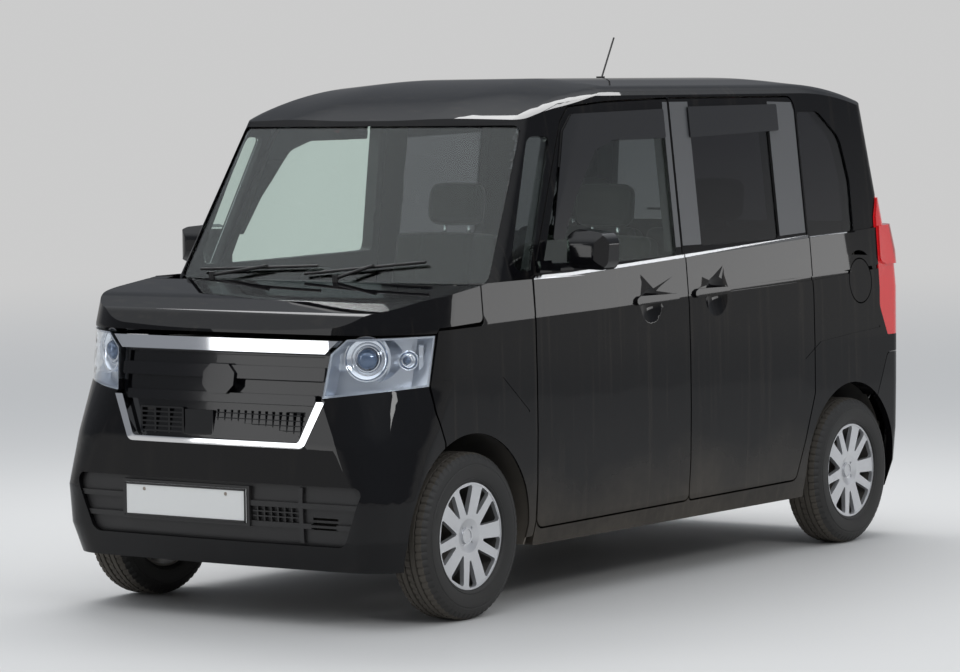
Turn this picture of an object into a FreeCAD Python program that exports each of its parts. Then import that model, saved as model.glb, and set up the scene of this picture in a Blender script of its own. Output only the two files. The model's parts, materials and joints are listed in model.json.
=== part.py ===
import FreeCAD, Part
import math
import os

# A small tall passenger car with two hinged front doors, two sliding rear doors, a bonnet and a
# tailgate. All sizes are in millimetres. X points to the nose, Y to the car's left and Z up, and the
# origin lies on the ground below the middle of its length.

V = FreeCAD.Vector

# Driving sizes of the whole car.
WHEELBASE = 2520.0
FRONT_OVERHANG = 467.5
REAR_OVERHANG = 407.5
WIDTH = 1475.0
HEIGHT = 1790.0
TRACK = 1305.0

LENGTH = FRONT_OVERHANG + WHEELBASE + REAR_OVERHANG
NOSE_X = LENGTH / 2
TAIL_X = -LENGTH / 2
FRONT_AXLE_X = NOSE_X - FRONT_OVERHANG
REAR_AXLE_X = FRONT_AXLE_X - WHEELBASE

# Wheels, a 155/65 tyre on a 14 inch rim.
TYRE_RADIUS = 278.0
TYRE_WIDTH = 157.0
RIM_RADIUS = 178.0
RIM_WIDTH = 128.0
RIM_WALL = 7.0
SPOKES = 5
WHEEL_Y = TRACK / 2
WHEEL_Z = TYRE_RADIUS
HUB_RADIUS = 32.0

# Walls and gaps.
DOOR_THICK = 62.0
PILLAR_THICK = 50.0
ROOF_THICK = 45.0
SHEET = 6.0
LID_THICK = 24.0
BUMPER_THICK = 26.0
SEAM = 7.0
SEAT_GAP = 0.3
PIN_GAP = 0.35
GLASS_INSET = 7.0
GLASS_THICK = 5.0
ARCH_RADIUS = 337.0
LINER = 8.0

# The drawing behind the outlines below has its axles and ends at these places. Where a driving size
# differs from it, the zones around the wheels keep their shape and the stretches between them give.
DRAWN_X = (-1697.5, -1290.0, -890.0, 830.0, 1230.0, 1697.5)
PLACED_X = (TAIL_X, REAR_AXLE_X, REAR_AXLE_X + 400, FRONT_AXLE_X - 400, FRONT_AXLE_X, NOSE_X)
DRAWN_Y = (-737.5, -300.0, 300.0, 737.5)
PLACED_Y = (-WIDTH / 2, 437.5 - WIDTH / 2, WIDTH / 2 - 437.5, WIDTH / 2)
DRAWN_Z = (0.0, 1230.0, 1600.0, 1790.0)
PLACED_Z = (0.0, 1230.0, HEIGHT - 190.0, HEIGHT)


def between(value, drawn, placed):
    """Follow a chain of straight stretches, and its end stretches beyond them."""
    i = 1
    while i < len(drawn) - 1 and value > drawn[i]:
        i += 1
    share = (value - drawn[i - 1]) / (drawn[i] - drawn[i - 1])
    return placed[i - 1] + share * (placed[i] - placed[i - 1])


def sx(x):
    return between(x, DRAWN_X, PLACED_X)


def sy(y):
    return between(y, DRAWN_Y, PLACED_Y)


def sz(z):
    return between(z, DRAWN_Z, PLACED_Z)


def rounded(points, place):
    """Make a closed wire through points (u, v, corner radius)."""
    ends = []
    count = len(points)
    for i in range(count):
        here = V(points[i][0], points[i][1], 0)
        before = V(points[i - 1][0], points[i - 1][1], 0) - here
        after = V(points[(i + 1) % count][0], points[(i + 1) % count][1], 0) - here
        before.normalize()
        after.normalize()
        radius = points[i][2]
        angle = before.getAngle(after)
        if radius <= 0 or angle > math.pi - 1e-4:
            ends.append((here, here, None))
            continue
        reach = radius / math.tan(angle / 2)
        inward = before + after
        inward.normalize()
        middle = here + inward * (radius / math.sin(angle / 2) - radius)
        ends.append((here + before * reach, here + after * reach, middle))
    edges = []
    for i in range(count):
        start, end, middle = ends[i]
        if middle is not None:
            edges.append(Part.Arc(place(start), place(middle), place(end)).toShape())
        following = ends[(i + 1) % count][0]
        if (following - end).Length > 1e-6:
            edges.append(Part.LineSegment(place(end), place(following)).toShape())
    return Part.Wire(edges)


def side_prism(points, low=-1200.0, high=1200.0):
    """Extrude a side outline (x, z, corner radius) of the drawing across the car."""
    placed = [(sx(x), sz(z), r) for x, z, r in points]
    wire = rounded(placed, lambda p: V(p.x, low, p.y))
    return Part.Face(wire).extrude(V(0, high - low, 0))


def front_prism(points, low=-2500.0, high=2500.0):
    """Extrude a front outline (y, z, corner radius) of the drawing along the car."""
    placed = [(sy(y), sz(z), r) for y, z, r in points]
    wire = rounded(placed, lambda p: V(low, p.x, p.y))
    return Part.Face(wire).extrude(V(high - low, 0, 0))


def plan_prism(points, low, high):
    """Extrude a plan outline (x, y, corner radius) of the drawing upwards."""
    placed = [(sx(x), sy(y), r) for x, y, r in points]
    wire = rounded(placed, lambda p: V(p.x, p.y, low))
    return Part.Face(wire).extrude(V(0, 0, high - low))


def both_ways(points):
    """Add the mirrored half to a half outline that starts on the left side."""
    return points + [(-y, z, r) for y, z, r in reversed(points)]


def mirrored(shape):
    return shape.mirror(V(0, 0, 0), V(0, 1, 0))


def pair(shape):
    """Put a piece with its mirror image on the other side into one shape."""
    return Part.makeCompound([shape, mirrored(shape)])


def box(x0, x1, y0, y1, z0, z1):
    return Part.makeBox(x1 - x0, y1 - y0, z1 - z0, V(x0, y0, z0))


def rod(start, end, radius, bore=0.0):
    """Make a round bar or tube between two points."""
    axis = end - start
    bar = Part.makeCylinder(radius, axis.Length, start, axis)
    if bore > 0:
        bar = bar.cut(Part.makeCylinder(bore, axis.Length, start, axis))
    return bar


def cross_cylinder(x, z, radius, y0, y1):
    return Part.makeCylinder(radius, y1 - y0, V(x, y0, z), V(0, 1, 0))


def joined(first, *others):
    shape = first
    for other in others:
        shape = shape.fuse(other)
    return shape.removeSplitter()


# Outer skin.

# Level, half width, nose x, nose corner radius, tail x and tail corner radius of the lower body.
LOWER_LEVELS = (
    (190, 700, 1668, 150, -1668, 90),
    (290, 725, 1691, 150, -1691, 90),
    (420, 734, 1697.5, 156, -1697.5, 90),
    (600, 737.5, 1686, 240, -1697.5, 90),
    (780, 737, 1662, 330, -1697, 85),
    (970, 733, 1628, 300, -1696, 75),
    (1110, 722, 1590, 290, -1682, 60),
    (1240, 711, 1556, 280, -1640, 50),
)

# Level, windscreen middle x and half width, pillar x and y, half width, tail x, corner radius.
UPPER_LEVELS = (
    (1080, 1122, 250, 1053, 695, 712, -1630, 52),
    (1860, 700, 205, 627, 563, 629, -1556, 126),
)


def plan_wire(z, half):
    """Close a half plan (x, y, corner radius) that runs from the nose to the tail."""
    points = [(sx(x), sy(y), r) for x, y, r in half]
    points += [(x, -y, r) for x, y, r in reversed(points)]
    return rounded(points, lambda p: V(p.x, p.y, sz(z)))


# Radii of the long curves in plan.
NOSE_BOW = 8000.0
SIDE_BOW = 140000.0
TAIL_BOW = 18000.0
SIDE_RISE = 2.2
SCREEN_BOW = 1600.0

LOFTS = {}


def lower_body(inset=0.0):
    """Loft the body below the windows, moved inwards by a wall."""
    if ("lower", inset) in LOFTS:
        return LOFTS["lower", inset]
    wires = []
    for z, half, nose, nose_r, tail, tail_r in LOWER_LEVELS:
        side = half - inset
        front = nose - inset
        rear = tail + inset
        wires.append(plan_wire(z, [
            (front, 200, NOSE_BOW),
            (front - 20, side - 12, max(nose_r - inset, 20)),
            (150, side + SIDE_RISE, SIDE_BOW),
            (rear + 8, side - 6, max(tail_r - inset, 12)),
            (rear, 200, TAIL_BOW),
        ]))
    LOFTS["lower", inset] = Part.makeLoft(wires, True, True)
    return LOFTS["lower", inset]


def upper_body(inset=0.0):
    """Loft the body around the windows, moved inwards by a wall."""
    if ("upper", inset) in LOFTS:
        return LOFTS["upper", inset]
    wires = []
    for z, bow_x, bow_y, pillar_x, pillar_y, half, tail, tail_r in UPPER_LEVELS:
        side = half - inset
        wires.append(plan_wire(z, [
            (bow_x - inset, bow_y, SCREEN_BOW),
            (pillar_x - inset, pillar_y - inset, max(60 - inset, 8)),
            (pillar_x - 210, side, 600),
            (tail + inset + 8, side, max(tail_r - inset, 12)),
            (tail + inset, 200, TAIL_BOW),
        ]))
    LOFTS["upper", inset] = Part.makeLoft(wires, True, True)
    return LOFTS["upper", inset]


def side_y(x, z):
    """Give the lower body's outer half width at a place of the drawing."""
    i = 1
    while i < len(LOWER_LEVELS) - 1 and z > LOWER_LEVELS[i][0]:
        i += 1
    low, high = LOWER_LEVELS[i - 1], LOWER_LEVELS[i]
    share = (z - low[0]) / (high[0] - low[0])
    half, nose, tail = [low[k] + share * (high[k] - low[k]) for k in (1, 2, 4)]
    fall = (12 + SIDE_RISE) / (nose - 170) if x > 150 else (6 + SIDE_RISE) / (158 + tail)
    return sy(half + SIDE_RISE - (x - 150) * fall)


# The roof's section over the cabin, its flatter section over the windscreen and the tail's side view.
# The sections turn down about cross axes, rearwards behind one place and forwards ahead of another.
ROOF_END = both_ways([(900, 600, 0), (900, 1513, 0), (605, 1757, 110), (300, 1790, 2400)])
BROW_END = both_ways([(900, 600, 0), (900, 1640, 0), (600, 1765, 250), (300, 1790, 2400)])
ROOF_TAIL = [
    (2500, 600, 0), (2500, 2200, 0), (-1000, 1852, 0), (-1530, 1727, 150), (-1600, 1640, 60),
    (-1700, 1480, 0), (-1900, 1380, 0), (-1900, 600, 0),
]
ROOF_BOW = 2100.0
ROOF_REAR_X = -1050.0
BROW_X = 52.0
BOW_TURN = 45.0
BELT = [
    (2000, 1102, 0), (620, 1113, 1500), (-2000, 1224, 0), (-2000, 0, 0), (2000, 0, 0),
]
BONNET_TOP = [
    (1900, 0, 0), (1900, 800, 0), (1646, 949, 30), (1574, 1024, 60), (1440, 1066, 400),
    (1120, 1107, 0), (900, 1300, 0), (-2000, 1300, 0), (-2000, 0, 0),
]


def moved_down(shape, drop):
    return shape.translated(V(0, 0, -drop)) if drop else shape


def lower_skin(inset=0.0, drop=0.0):
    """Cut the lower body by the window line and the bonnet's top."""
    top = moved_down(side_prism(BONNET_TOP), drop)
    return lower_body(inset).common(side_prism(BELT)).common(top)


def turned_section(outline, start, end, forwards):
    """Extrude a roof section from its start to its end, then turn it down about a cross axis."""
    low, high = sorted((sx(start), sx(end)))
    straight = front_prism(outline, low, high)
    placed = [(sy(y), sz(z), r) for y, z, r in outline]
    face = Part.Face(rounded(placed, lambda p: V(sx(start), p.x, p.y)))
    axis = V(0, 1 if forwards else -1, 0)
    return straight.fuse(face.revolve(V(sx(start), 0, HEIGHT - ROOF_BOW), axis, BOW_TURN))


ROOF_FORM = turned_section(ROOF_END, ROOF_REAR_X, 2500, False)
ROOF_FORM = ROOF_FORM.common(turned_section(BROW_END, BROW_X, -2500, True))
ROOF_FORM = ROOF_FORM.common(side_prism(ROOF_TAIL))


def upper_skin(inset=0.0, drop=0.0):
    """Cut the upper body by the roof's curves."""
    return upper_body(inset).common(moved_down(ROOF_FORM, drop))


LOWER = lower_skin()
UPPER = upper_skin()
OUTER = LOWER.fuse(UPPER)
INNER = lower_skin(DOOR_THICK).fuse(upper_skin(PILLAR_THICK, ROOF_THICK))


def wall(block):
    """Keep what a block covers of the body's wall."""
    return block.common(OUTER).cut(INNER)


def side_wall(outline):
    """Keep what a side outline covers of the left wall."""
    return wall(side_prism(outline, 300, 1200))


# Outlines of the doors, windows and lids in side view (x, z, corner radius).
FRONT_DOOR = [
    (850, 268, 45), (850, 1112, 6), (828, 1122, 6), (566, 1636, 30), (520, 1685, 40), (300, 1700, 400),
    (-109, 1710, 12), (-109, 275, 20),
]
SLIDING_DOOR = [
    (-116, 275, 20), (-116, 1710, 12), (-992, 1710, 50), (-992, 596, 60), (-866, 280, 30),
]
FRONT_WINDOW = [(778, 1138, 20), (563, 1604, 30), (512, 1648, 30), (-72, 1662, 20), (-72, 1152, 20)]
SLIDING_WINDOW = [(-245, 1180, 20), (-245, 1670, 20), (-797, 1672, 20), (-797, 1186, 20)]
PILLAR_WINDOW = [(952, 1138, 44), (735, 1590, 50), (630, 1588, 15), (846, 1138, 16)]
QUARTER_WINDOW = [
    (-1010, 1186, 15), (-1008, 1656, 25), (-1165, 1656, 60), (-1312, 1556, 110), (-1358, 1390, 110),
    (-1352, 1190, 20),
]


def grown(points, step):
    """Offset a closed outline outwards by a step, or inwards where it is negative."""
    area = sum(points[i - 1][0] * points[i][1] - points[i][0] * points[i - 1][1]
               for i in range(len(points)))
    turn = 1.0 if area > 0 else -1.0
    result = []
    for i in range(len(points)):
        here = V(points[i][0], points[i][1], 0)
        before = here - V(points[i - 1][0], points[i - 1][1], 0)
        after = V(points[(i + 1) % len(points)][0], points[(i + 1) % len(points)][1], 0) - here
        before.normalize()
        after.normalize()
        normal_a = V(before.y, -before.x, 0) * turn
        normal_b = V(after.y, -after.x, 0) * turn
        corner = normal_a + normal_b
        corner = corner * (step / (1 + normal_a.dot(normal_b)))
        radius = points[i][2]
        result.append((here.x + corner.x, here.y + corner.y, max(radius + step, 0) if radius else 0))
    return result


def window_glass(outline, low=0.0, high=1200.0):
    """Make a pane that lies just inside the skin of the upper body."""
    block = side_prism(grown(outline, -SEAT_GAP), low, high)
    return block.common(upper_body(GLASS_INSET)).cut(upper_body(GLASS_INSET + GLASS_THICK))


# Lines that run along the flanks (x, z), with each one's height and depth.
FLANK_LINES = (
    (((1130, 975), (400, 990), (-385, 1014)), 6.0, 1.6),
    (((-385, 1010), (-1000, 1022), (-1515, 1045)), 15.0, 5.0),
    (((1420, 802), (1250, 806), (1050, 786), (900, 664)), 7.0, 1.6),
    (((-925, 728), (-1043, 788), (-1271, 805), (-1500, 817)), 7.0, 1.6),
)


def flank_cut(line, height, depth):
    """Make the sunk band of one line along the left flank."""
    outline = [(x, z, 0) for x, z in line] + [(x, z + height, 0) for x, z in reversed(line)]
    return side_prism(outline, sy(640), 1200).cut(lower_body(depth))


FLANK_CUTS = [flank_cut(line, height, depth) for line, height, depth in FLANK_LINES]
MOULDING_HEIGHT = 11.0
MOULDING = [(x, z, r) for x, z, r in BELT[:3]] + [
    (x, z + MOULDING_HEIGHT, r) for x, z, r in reversed(BELT[:3])
]


def belt_moulding(outline):
    """Make the bright strip on the window line, as far as a side outline reaches."""
    strip = side_prism(MOULDING, 300, 1200).common(side_prism(outline, 300, 1200))
    return strip.common(upper_body(-9)).cut(upper_body(3))


def raised(outline, out, depth=5.0):
    """Make a plate that stands a little proud of the upper body's side."""
    return side_prism(outline, 300, 1200).common(upper_body(-out)).cut(upper_body(depth))


def handle(front, rear, z, dish_x, dish_z):
    """Make a door handle's dish as a cutter, and its grip bar."""
    skin = side_y(dish_x, dish_z)
    ball = (DISH_RADIUS ** 2 + DISH_DEPTH ** 2) / (2 * DISH_DEPTH)
    dish = Part.makeSphere(ball, V(sx(dish_x), skin - DISH_DEPTH + ball, dish_z))
    outline = [(front, z, 12), (front - 40, z + 17, 20), (rear, z + 15, 12), (rear, z - 11, 12), (front - 30, z - 15, 20)]
    grip = side_prism(outline, 640, 1200).common(lower_body(-GRIP_OUT)).cut(lower_body(GRIP_DEEP))
    return dish, grip


DISH_RADIUS = 76.0
DISH_DEPTH = 15.0
GRIP_OUT = 10.0
GRIP_DEEP = 3.5
# Smoked visors over the side windows and the dark strips on the window frames (x, z, corner radius).
FRONT_VISOR = [
    (708, 1238, 8), (574, 1606, 30), (516, 1664, 34), (-66, 1676, 8), (-66, 1572, 8), (284, 1570, 90),
    (400, 1536, 90), (552, 1368, 90), (640, 1238, 8),
]
SLIDING_VISOR = [(-232, 1682, 8), (-232, 1570, 8), (-852, 1588, 8), (-852, 1686, 8)]
VISOR_OUT = 9.0
VISOR_WALL = 3.0
VISOR_RIM = 12.0
FRAME_STRIPS = (
    ((-105, 1182), (-105, 1700), (-73, 1700), (-73, 1182)),
    ((-120, 1186), (-120, 1700), (-244, 1700), (-244, 1186)),
    ((-798, 1196), (-798, 1696), (-972, 1692), (-986, 1660), (-986, 1202)),
)


def visor(outline, window):
    """Make a smoked visor that springs from the frame round a window and hangs before its glass."""
    block = side_prism(outline, 300, 1200)
    shell = block.common(upper_body(-VISOR_OUT)).cut(upper_body(VISOR_WALL - VISOR_OUT))
    rim = block.cut(side_prism(window, 300, 1200)).common(upper_body(-VISOR_OUT)).cut(upper_body(2))
    return shell.fuse(rim)


def frame_strip(points):
    return raised([(x, z, 0) for x, z in points], 1.2)


LEFT_SIDE = box(-2500, 2500, 0, 1200, 0, 2200)
REAR_GATE = both_ways([(585, 512, 40), (612, 780, 200), (628, 1130, 200), (563, 1870, 0)])
GATE_TOP_X = sx(-1500)


def arch_cut(x, radius=ARCH_RADIUS):
    return cross_cylinder(x, WHEEL_Z + 4, radius, sy(385), 1200)


# Hinges. An arm curves round the edge of the body's skin, from a pin behind it to the panel's edge.
HINGE_BACK = 30.0
HINGE_SWEEP = 34.0
PIN_RADIUS = 4.0
BOSS_RADIUS = 7.0
ARM_WIDE = 26.0
# Offsets from the pin (away from the panel, towards the skin).
ARM_ROUTE = ((4, 0), (4, -18), (-26, -42), (-60, -42), (-60, -26), (-26, -27), (-4, -15), (-4, 0))


def hinge_arm(place, bore=PIN_RADIUS + PIN_GAP):
    """Make a panel's hinge arm, where place turns offsets (u, v, w) from the pin into a point."""
    low, high = -ARM_WIDE / 2, ARM_WIDE / 2
    wire = Part.makePolygon([place(u, v, low) for u, v in ARM_ROUTE + ARM_ROUTE[:1]])
    arm = Part.Face(wire).extrude(place(0, 0, high) - place(0, 0, low))
    arm = arm.fuse(rod(place(0, 0, low), place(0, 0, high), BOSS_RADIUS))
    return arm.cut(rod(place(0, 0, low - 1), place(0, 0, high + 1), bore))


# Doors.
HINGE_X = sx(850) + HINGE_BACK
HINGE_Y = side_y(880, 430) - 15
HINGE_HEIGHTS = (430.0, 860.0)
HINGE_TALL = 64.0
STRAP_TALL = ARM_WIDE


def front_door():
    """Make the left front door with its window frame, handle, visor and hinge arms."""
    door = side_wall(FRONT_DOOR).cut(side_prism(FRONT_WINDOW))
    dish, grip = handle(254, -37, 1005, 137, 995)
    door = door.cut(FLANK_CUTS[0]).cut(FLANK_CUTS[2]).cut(dish).fuse(grip)
    door = door.fuse(belt_moulding(FRONT_DOOR)).fuse(frame_strip(FRAME_STRIPS[0]))
    door = door.fuse(visor(FRONT_VISOR, FRONT_WINDOW))
    door = door.cut(rod(V(HINGE_X, HINGE_Y, 0), V(HINGE_X, HINGE_Y, 1200), HINGE_SWEEP))
    for height in HINGE_HEIGHTS:
        door = door.fuse(hinge_arm(lambda u, v, w: V(HINGE_X + u, HINGE_Y + v, height + w)))
    return door


def hinge_bracket(z):
    """Make the body's half of a door hinge, a fork with its pin."""
    half = HINGE_TALL / 2
    post_y = sy(668)
    bracket = box(HINGE_X - 8, HINGE_X + 30, post_y, HINGE_Y - 20, z - half, z + half)
    for low in (z - half, z + STRAP_TALL / 2 + PIN_GAP):
        high = low + half - STRAP_TALL / 2 - PIN_GAP
        ear = box(HINGE_X - 6, HINGE_X + 20, post_y, HINGE_Y, low, high)
        bracket = bracket.fuse(ear).fuse(rod(V(HINGE_X, HINGE_Y, low), V(HINGE_X, HINGE_Y, high), 7))
    inner = box(HINGE_X - 40, HINGE_X + 12, post_y - 1, HINGE_Y + 20,
                z - STRAP_TALL / 2 - PIN_GAP, z + STRAP_TALL / 2 + PIN_GAP)
    bracket = bracket.cut(inner)
    return bracket.fuse(rod(V(HINGE_X, HINGE_Y, z - half), V(HINGE_X, HINGE_Y, z + half), 4))


def sliding_door():
    """Make the left sliding door with its handle, visor and rail groove."""
    door = side_wall(SLIDING_DOOR).cut(side_prism(SLIDING_WINDOW))
    dish, grip = handle(-131, -385, 1013, -300, 1009)
    door = door.cut(FLANK_CUTS[0]).cut(FLANK_CUTS[1]).cut(FLANK_CUTS[3]).cut(dish).fuse(grip)
    door = door.fuse(belt_moulding(SLIDING_DOOR))
    for strip in FRAME_STRIPS[1:]:
        door = door.fuse(frame_strip(strip))
    return door.fuse(visor(SLIDING_VISOR, SLIDING_WINDOW))


# Body sides with the sills, the pillars and the rear quarters.
ROOF_SEAM = [
    (1100, 1600, 0), (860, 1618, 0), (760, 1638, 0), (540, 1700, 0), (250, 1738, 0), (-1150, 1738, 0),
    (-1400, 1712, 0), (-1900, 1600, 0),
]
SIDE_OUTLINE = [(850, 206, 15), (850, 1140, 0)] + ROOF_SEAM[3:] + [(-1900, 206, 0)]
PILLAR_OUTLINE = [(849, 1086, 0), (1200, 1086, 0)] + ROOF_SEAM[:4] + [(849, 1120, 0)]
TAIL_LAMP = [
    (-1548, 1326, 4), (-1512, 1240, 40), (-1502, 900, 60), (-1560, 786, 10), (-1800, 786, 0),
    (-1800, 1326, 0),
]
TAIL_LAMP_SWELL = [
    (-1546, 1318, 8), (-1520, 1250, 40), (-1511, 1072, 30), (-1560, 1060, 8), (-1800, 1060, 0), (-1800, 1318, 0),
]
TAIL_LAMP_OUT = 9.0
REAR_BUMPER = [
    (-1400, 150, 0), (-1400, 320, 0), (-1462, 520, 30), (-1560, 716, 30), (-1900, 716, 0), (-1900, 150, 0),
]
FUEL_LID_X = sx(-1358)
FUEL_LID_Z = 1004.0
FUEL_LID_RADIUS = 83.0
FUEL_LID_GAP = 5.0
FUEL_SKIN_Y = side_y(-1358, FUEL_LID_Z)
FUEL_PIN_X = FUEL_LID_X + FUEL_LID_RADIUS + 22
FUEL_PIN_Y = FUEL_SKIN_Y - 16
FUEL_POCKET = 56.0
# Offsets of the lid's bent arm from its pin (forwards, towards the skin).
FUEL_ARM = ((3, 0), (3, -30), (-38, -30), (-38, 13), (-32, 13), (-32, -23), (-4, -23), (-4, 0))


def side_frame():
    """Make the left body side with its door openings."""
    frame = wall(side_prism(SIDE_OUTLINE, 100, 1200))
    pillar = side_prism(PILLAR_OUTLINE, 100, 1200).common(UPPER).cut(INNER)
    frame = frame.fuse(pillar)
    frame = frame.cut(side_prism(grown(FRONT_DOOR, SEAM)))
    frame = frame.cut(side_prism(grown(SLIDING_DOOR, SEAM)))
    frame = frame.cut(side_prism(QUARTER_WINDOW)).cut(side_prism(PILLAR_WINDOW))
    frame = frame.cut(FLANK_CUTS[1]).cut(FLANK_CUTS[3])
    frame = frame.cut(arch_cut(REAR_AXLE_X + 10)).cut(arch_cut(FRONT_AXLE_X))
    frame = frame.cut(front_prism(grown(REAR_GATE, SEAM), -2500, REAR_AXLE_X))
    frame = frame.cut(windscreen_prism(0)).cut(side_prism(grown(TAIL_LAMP, SEAT_GAP)))
    frame = frame.cut(side_prism(grown(REAR_BUMPER, 4)))
    post = box(HINGE_X - 12, HINGE_X + 66, sy(600), sy(668), 346, 1092)
    frame = frame.fuse(post)
    for height in HINGE_HEIGHTS:
        frame = frame.fuse(hinge_bracket(height))
    liner = ARCH_RADIUS + 3 + LINER + SEAT_GAP
    return frame.cut(cross_cylinder(FRONT_AXLE_X, WHEEL_Z + 4, liner, sy(380), sy(700)))


def fuel_pocket(frame):
    """Sink the filler's pocket into the left body side, with its cap and the lid's pin."""
    low = FUEL_SKIN_Y - FUEL_POCKET
    frame = frame.cut(cross_cylinder(FUEL_LID_X, FUEL_LID_Z, FUEL_LID_RADIUS + FUEL_LID_GAP, low, 1200))
    frame = frame.cut(cross_cylinder(FUEL_LID_X, FUEL_LID_Z, FUEL_LID_RADIUS + 34, low, FUEL_SKIN_Y - 6.5))
    frame = frame.fuse(cross_cylinder(FUEL_LID_X - 20, FUEL_LID_Z - 10, 36, low - 1, low + 26))
    for side in (1, -1):
        ear = box(FUEL_PIN_X - 4, FUEL_PIN_X + 4, low - 1, FUEL_PIN_Y + 2.5, -3, 3)
        frame = frame.fuse(ear.translated(V(0, 0, FUEL_LID_Z + side * 20)))
    start = V(FUEL_PIN_X, FUEL_PIN_Y, FUEL_LID_Z)
    return frame.fuse(rod(start - V(0, 0, 20), start + V(0, 0, 20), 2))


def fuel_lid():
    """Make the round lid with the bent arm that reaches round the rim of its pocket."""
    plate = cross_cylinder(FUEL_LID_X, FUEL_LID_Z, FUEL_LID_RADIUS, sy(700), 1200)
    plate = plate.common(LOWER).cut(lower_body(5.0))
    start = V(FUEL_PIN_X, FUEL_PIN_Y, FUEL_LID_Z)
    wire = Part.makePolygon([start + V(u, v, -14) for u, v in FUEL_ARM + FUEL_ARM[:1]])
    arm = Part.Face(wire).extrude(V(0, 0, 28)).common(lower_body(1.0))
    arm = arm.fuse(rod(start - V(0, 0, 14), start + V(0, 0, 14), 5))
    return plate.fuse(arm).cut(rod(start - V(0, 0, 15), start + V(0, 0, 15), 2 + PIN_GAP))


# Front end.
PLATE_Y = -118.0
PLATE_Z = 392.0
PLATE_BACK = 4.5
WINDSCREEN = both_ways([(664, 1100, 25), (600, 1628, 30)])
GRILLE_OPENING = both_ways([(372, 588, 30), (446, 742, 0), (432, 752, 0), (449, 896, 10), (503, 947, 0)])
LOWER_OPENING = both_ways([(533, 272, 40), (612, 470, 25)])
LAMP_FRONT = [(434, 753, 4), (451, 896, 8), (505, 945, 8), (760, 953, 0), (760, 795, 0), (640, 778, 300)]
LAMP_SIDE = [(1440, 770, 0), (1398, 990, 0), (1800, 990, 0), (1800, 700, 0), (1460, 700, 0)]
FENDER = [
    (857, 240, 10), (857, 1200, 0), (1150, 1200, 0), (1150, 970, 20), (1393, 966, 0), (1433, 789, 10),
    (1421, 700, 80), (1376, 600, 0), (1350, 240, 0),
]
BUMPER_SIDE = [
    (1384, 600, 0), (1429, 700, 80), (1441, 789, 10), (1404, 966, 0), (1404, 1000, 0),
    (1800, 1000, 0), (1800, 100, 0), (1384, 100, 0),
]
BONNET_SIDE = [
    (1157, 1300, 0), (1157, 984, 20), (1388, 975, 0), (1402, 958, 0), (1800, 958, 0), (1800, 1300, 0),
]


def windscreen_prism(step):
    return front_prism(grown(WINDSCREEN, step), 400, 1400)


def fender():
    """Make the left front wing with its wheel arch."""
    sheet = side_prism(FENDER, sy(640), 1200).common(LOWER).cut(lower_skin(SHEET, SHEET))
    sheet = sheet.cut(FLANK_CUTS[0]).cut(FLANK_CUTS[2])
    return sheet.cut(arch_cut(FRONT_AXLE_X)).cut(upper_body(-SEAT_GAP))


LAMP_LENS = 4.0
LAMP_DEEP = 70.0
LAMP_RIM = 7.0
RING_X = 1531.0
RING_Y = 538.0
RING_Z = 879.0
RING_RADIUS = 84.0


def lamp_block(step):
    block = side_prism(grown(LAMP_SIDE, step), 300, 1200)
    return block.common(front_prism(grown(LAMP_FRONT, step), 1000, 2000))


def headlamp():
    """Make the left lamp's housing, hollow behind its lens, with the lamp's ring in it."""
    block = lamp_block(0).common(LOWER).cut(lower_body(LAMP_DEEP))
    block = block.cut(lamp_block(1).cut(lower_body(LAMP_LENS + SEAT_GAP)))
    hollow = lamp_block(-LAMP_RIM).common(lower_body(LAMP_LENS - 1)).cut(lower_body(LAMP_DEEP - 10))
    centre = V(sx(RING_X), sy(RING_Y), RING_Z)
    ring = rod(centre - V(74, 0, 0), centre, RING_RADIUS, RING_RADIUS - 11)
    bowl = rod(centre - V(74, 0, 0), centre - V(44, 0, 0), RING_RADIUS - 10.5)
    inside = ring.fuse(bowl).common(lower_body(LAMP_LENS + 4))
    return block.cut(hollow).fuse(inside.common(lamp_block(-1)))


def headlamp_lens():
    """Make the left lamp's clear cover."""
    return lamp_block(0).common(LOWER).cut(lower_body(LAMP_LENS))


def front_bumper():
    shell = LOWER.cut(lower_body(BUMPER_THICK)).common(side_prism(BUMPER_SIDE))
    shell = shell.common(box(0, 2500, -1200, 1200, 150, sz(950)))
    lamp = side_prism(grown(LAMP_SIDE, SEAT_GAP)).common(front_prism(grown(LAMP_FRONT, SEAT_GAP), 1000, 2000))
    shell = shell.cut(lamp).cut(mirrored(lamp))
    shell = shell.cut(front_prism(grown(GRILLE_OPENING, 1), 1000, 2000))
    shell = shell.cut(front_prism(LOWER_OPENING, 1000, 2000))
    shell = shell.cut(arch_cut(FRONT_AXLE_X)).cut(mirrored(arch_cut(FRONT_AXLE_X)))
    above = box(0, 2500, -1200, 1200, sz(790), sz(1100))
    return shell.cut(above)


def front_layer(outline, outer, inner):
    """Make a piece of the nose between two depths below the skin."""
    block = front_prism(outline, sx(1500), 2000)
    return block.common(lower_body(outer)).cut(lower_body(inner))


# Rows of the nose's bars: half width or y range, z range.
SLATS = ((428, 808, 851), (398, 728, 760))
VENT_Z = (614, 702)
VENT_X = NOSE_X - 62.5


def grille_trim():
    """Make the bright bar across the nose and the bright surround below it."""
    bar = front_layer(both_ways([(432, 897, 0), (477, 940, 0)]), -3, 24)
    surround = front_layer(GRILLE_OPENING, -2, 24)
    surround = surround.cut(front_prism(both_ways([(352, 606, 20), (414, 744, 0), (420, 1000, 0)]), 1000, 2000))
    surround = surround.common(box(0, 2500, -1200, 1200, 500, sz(742)))
    return bar.fuse(surround)


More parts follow.
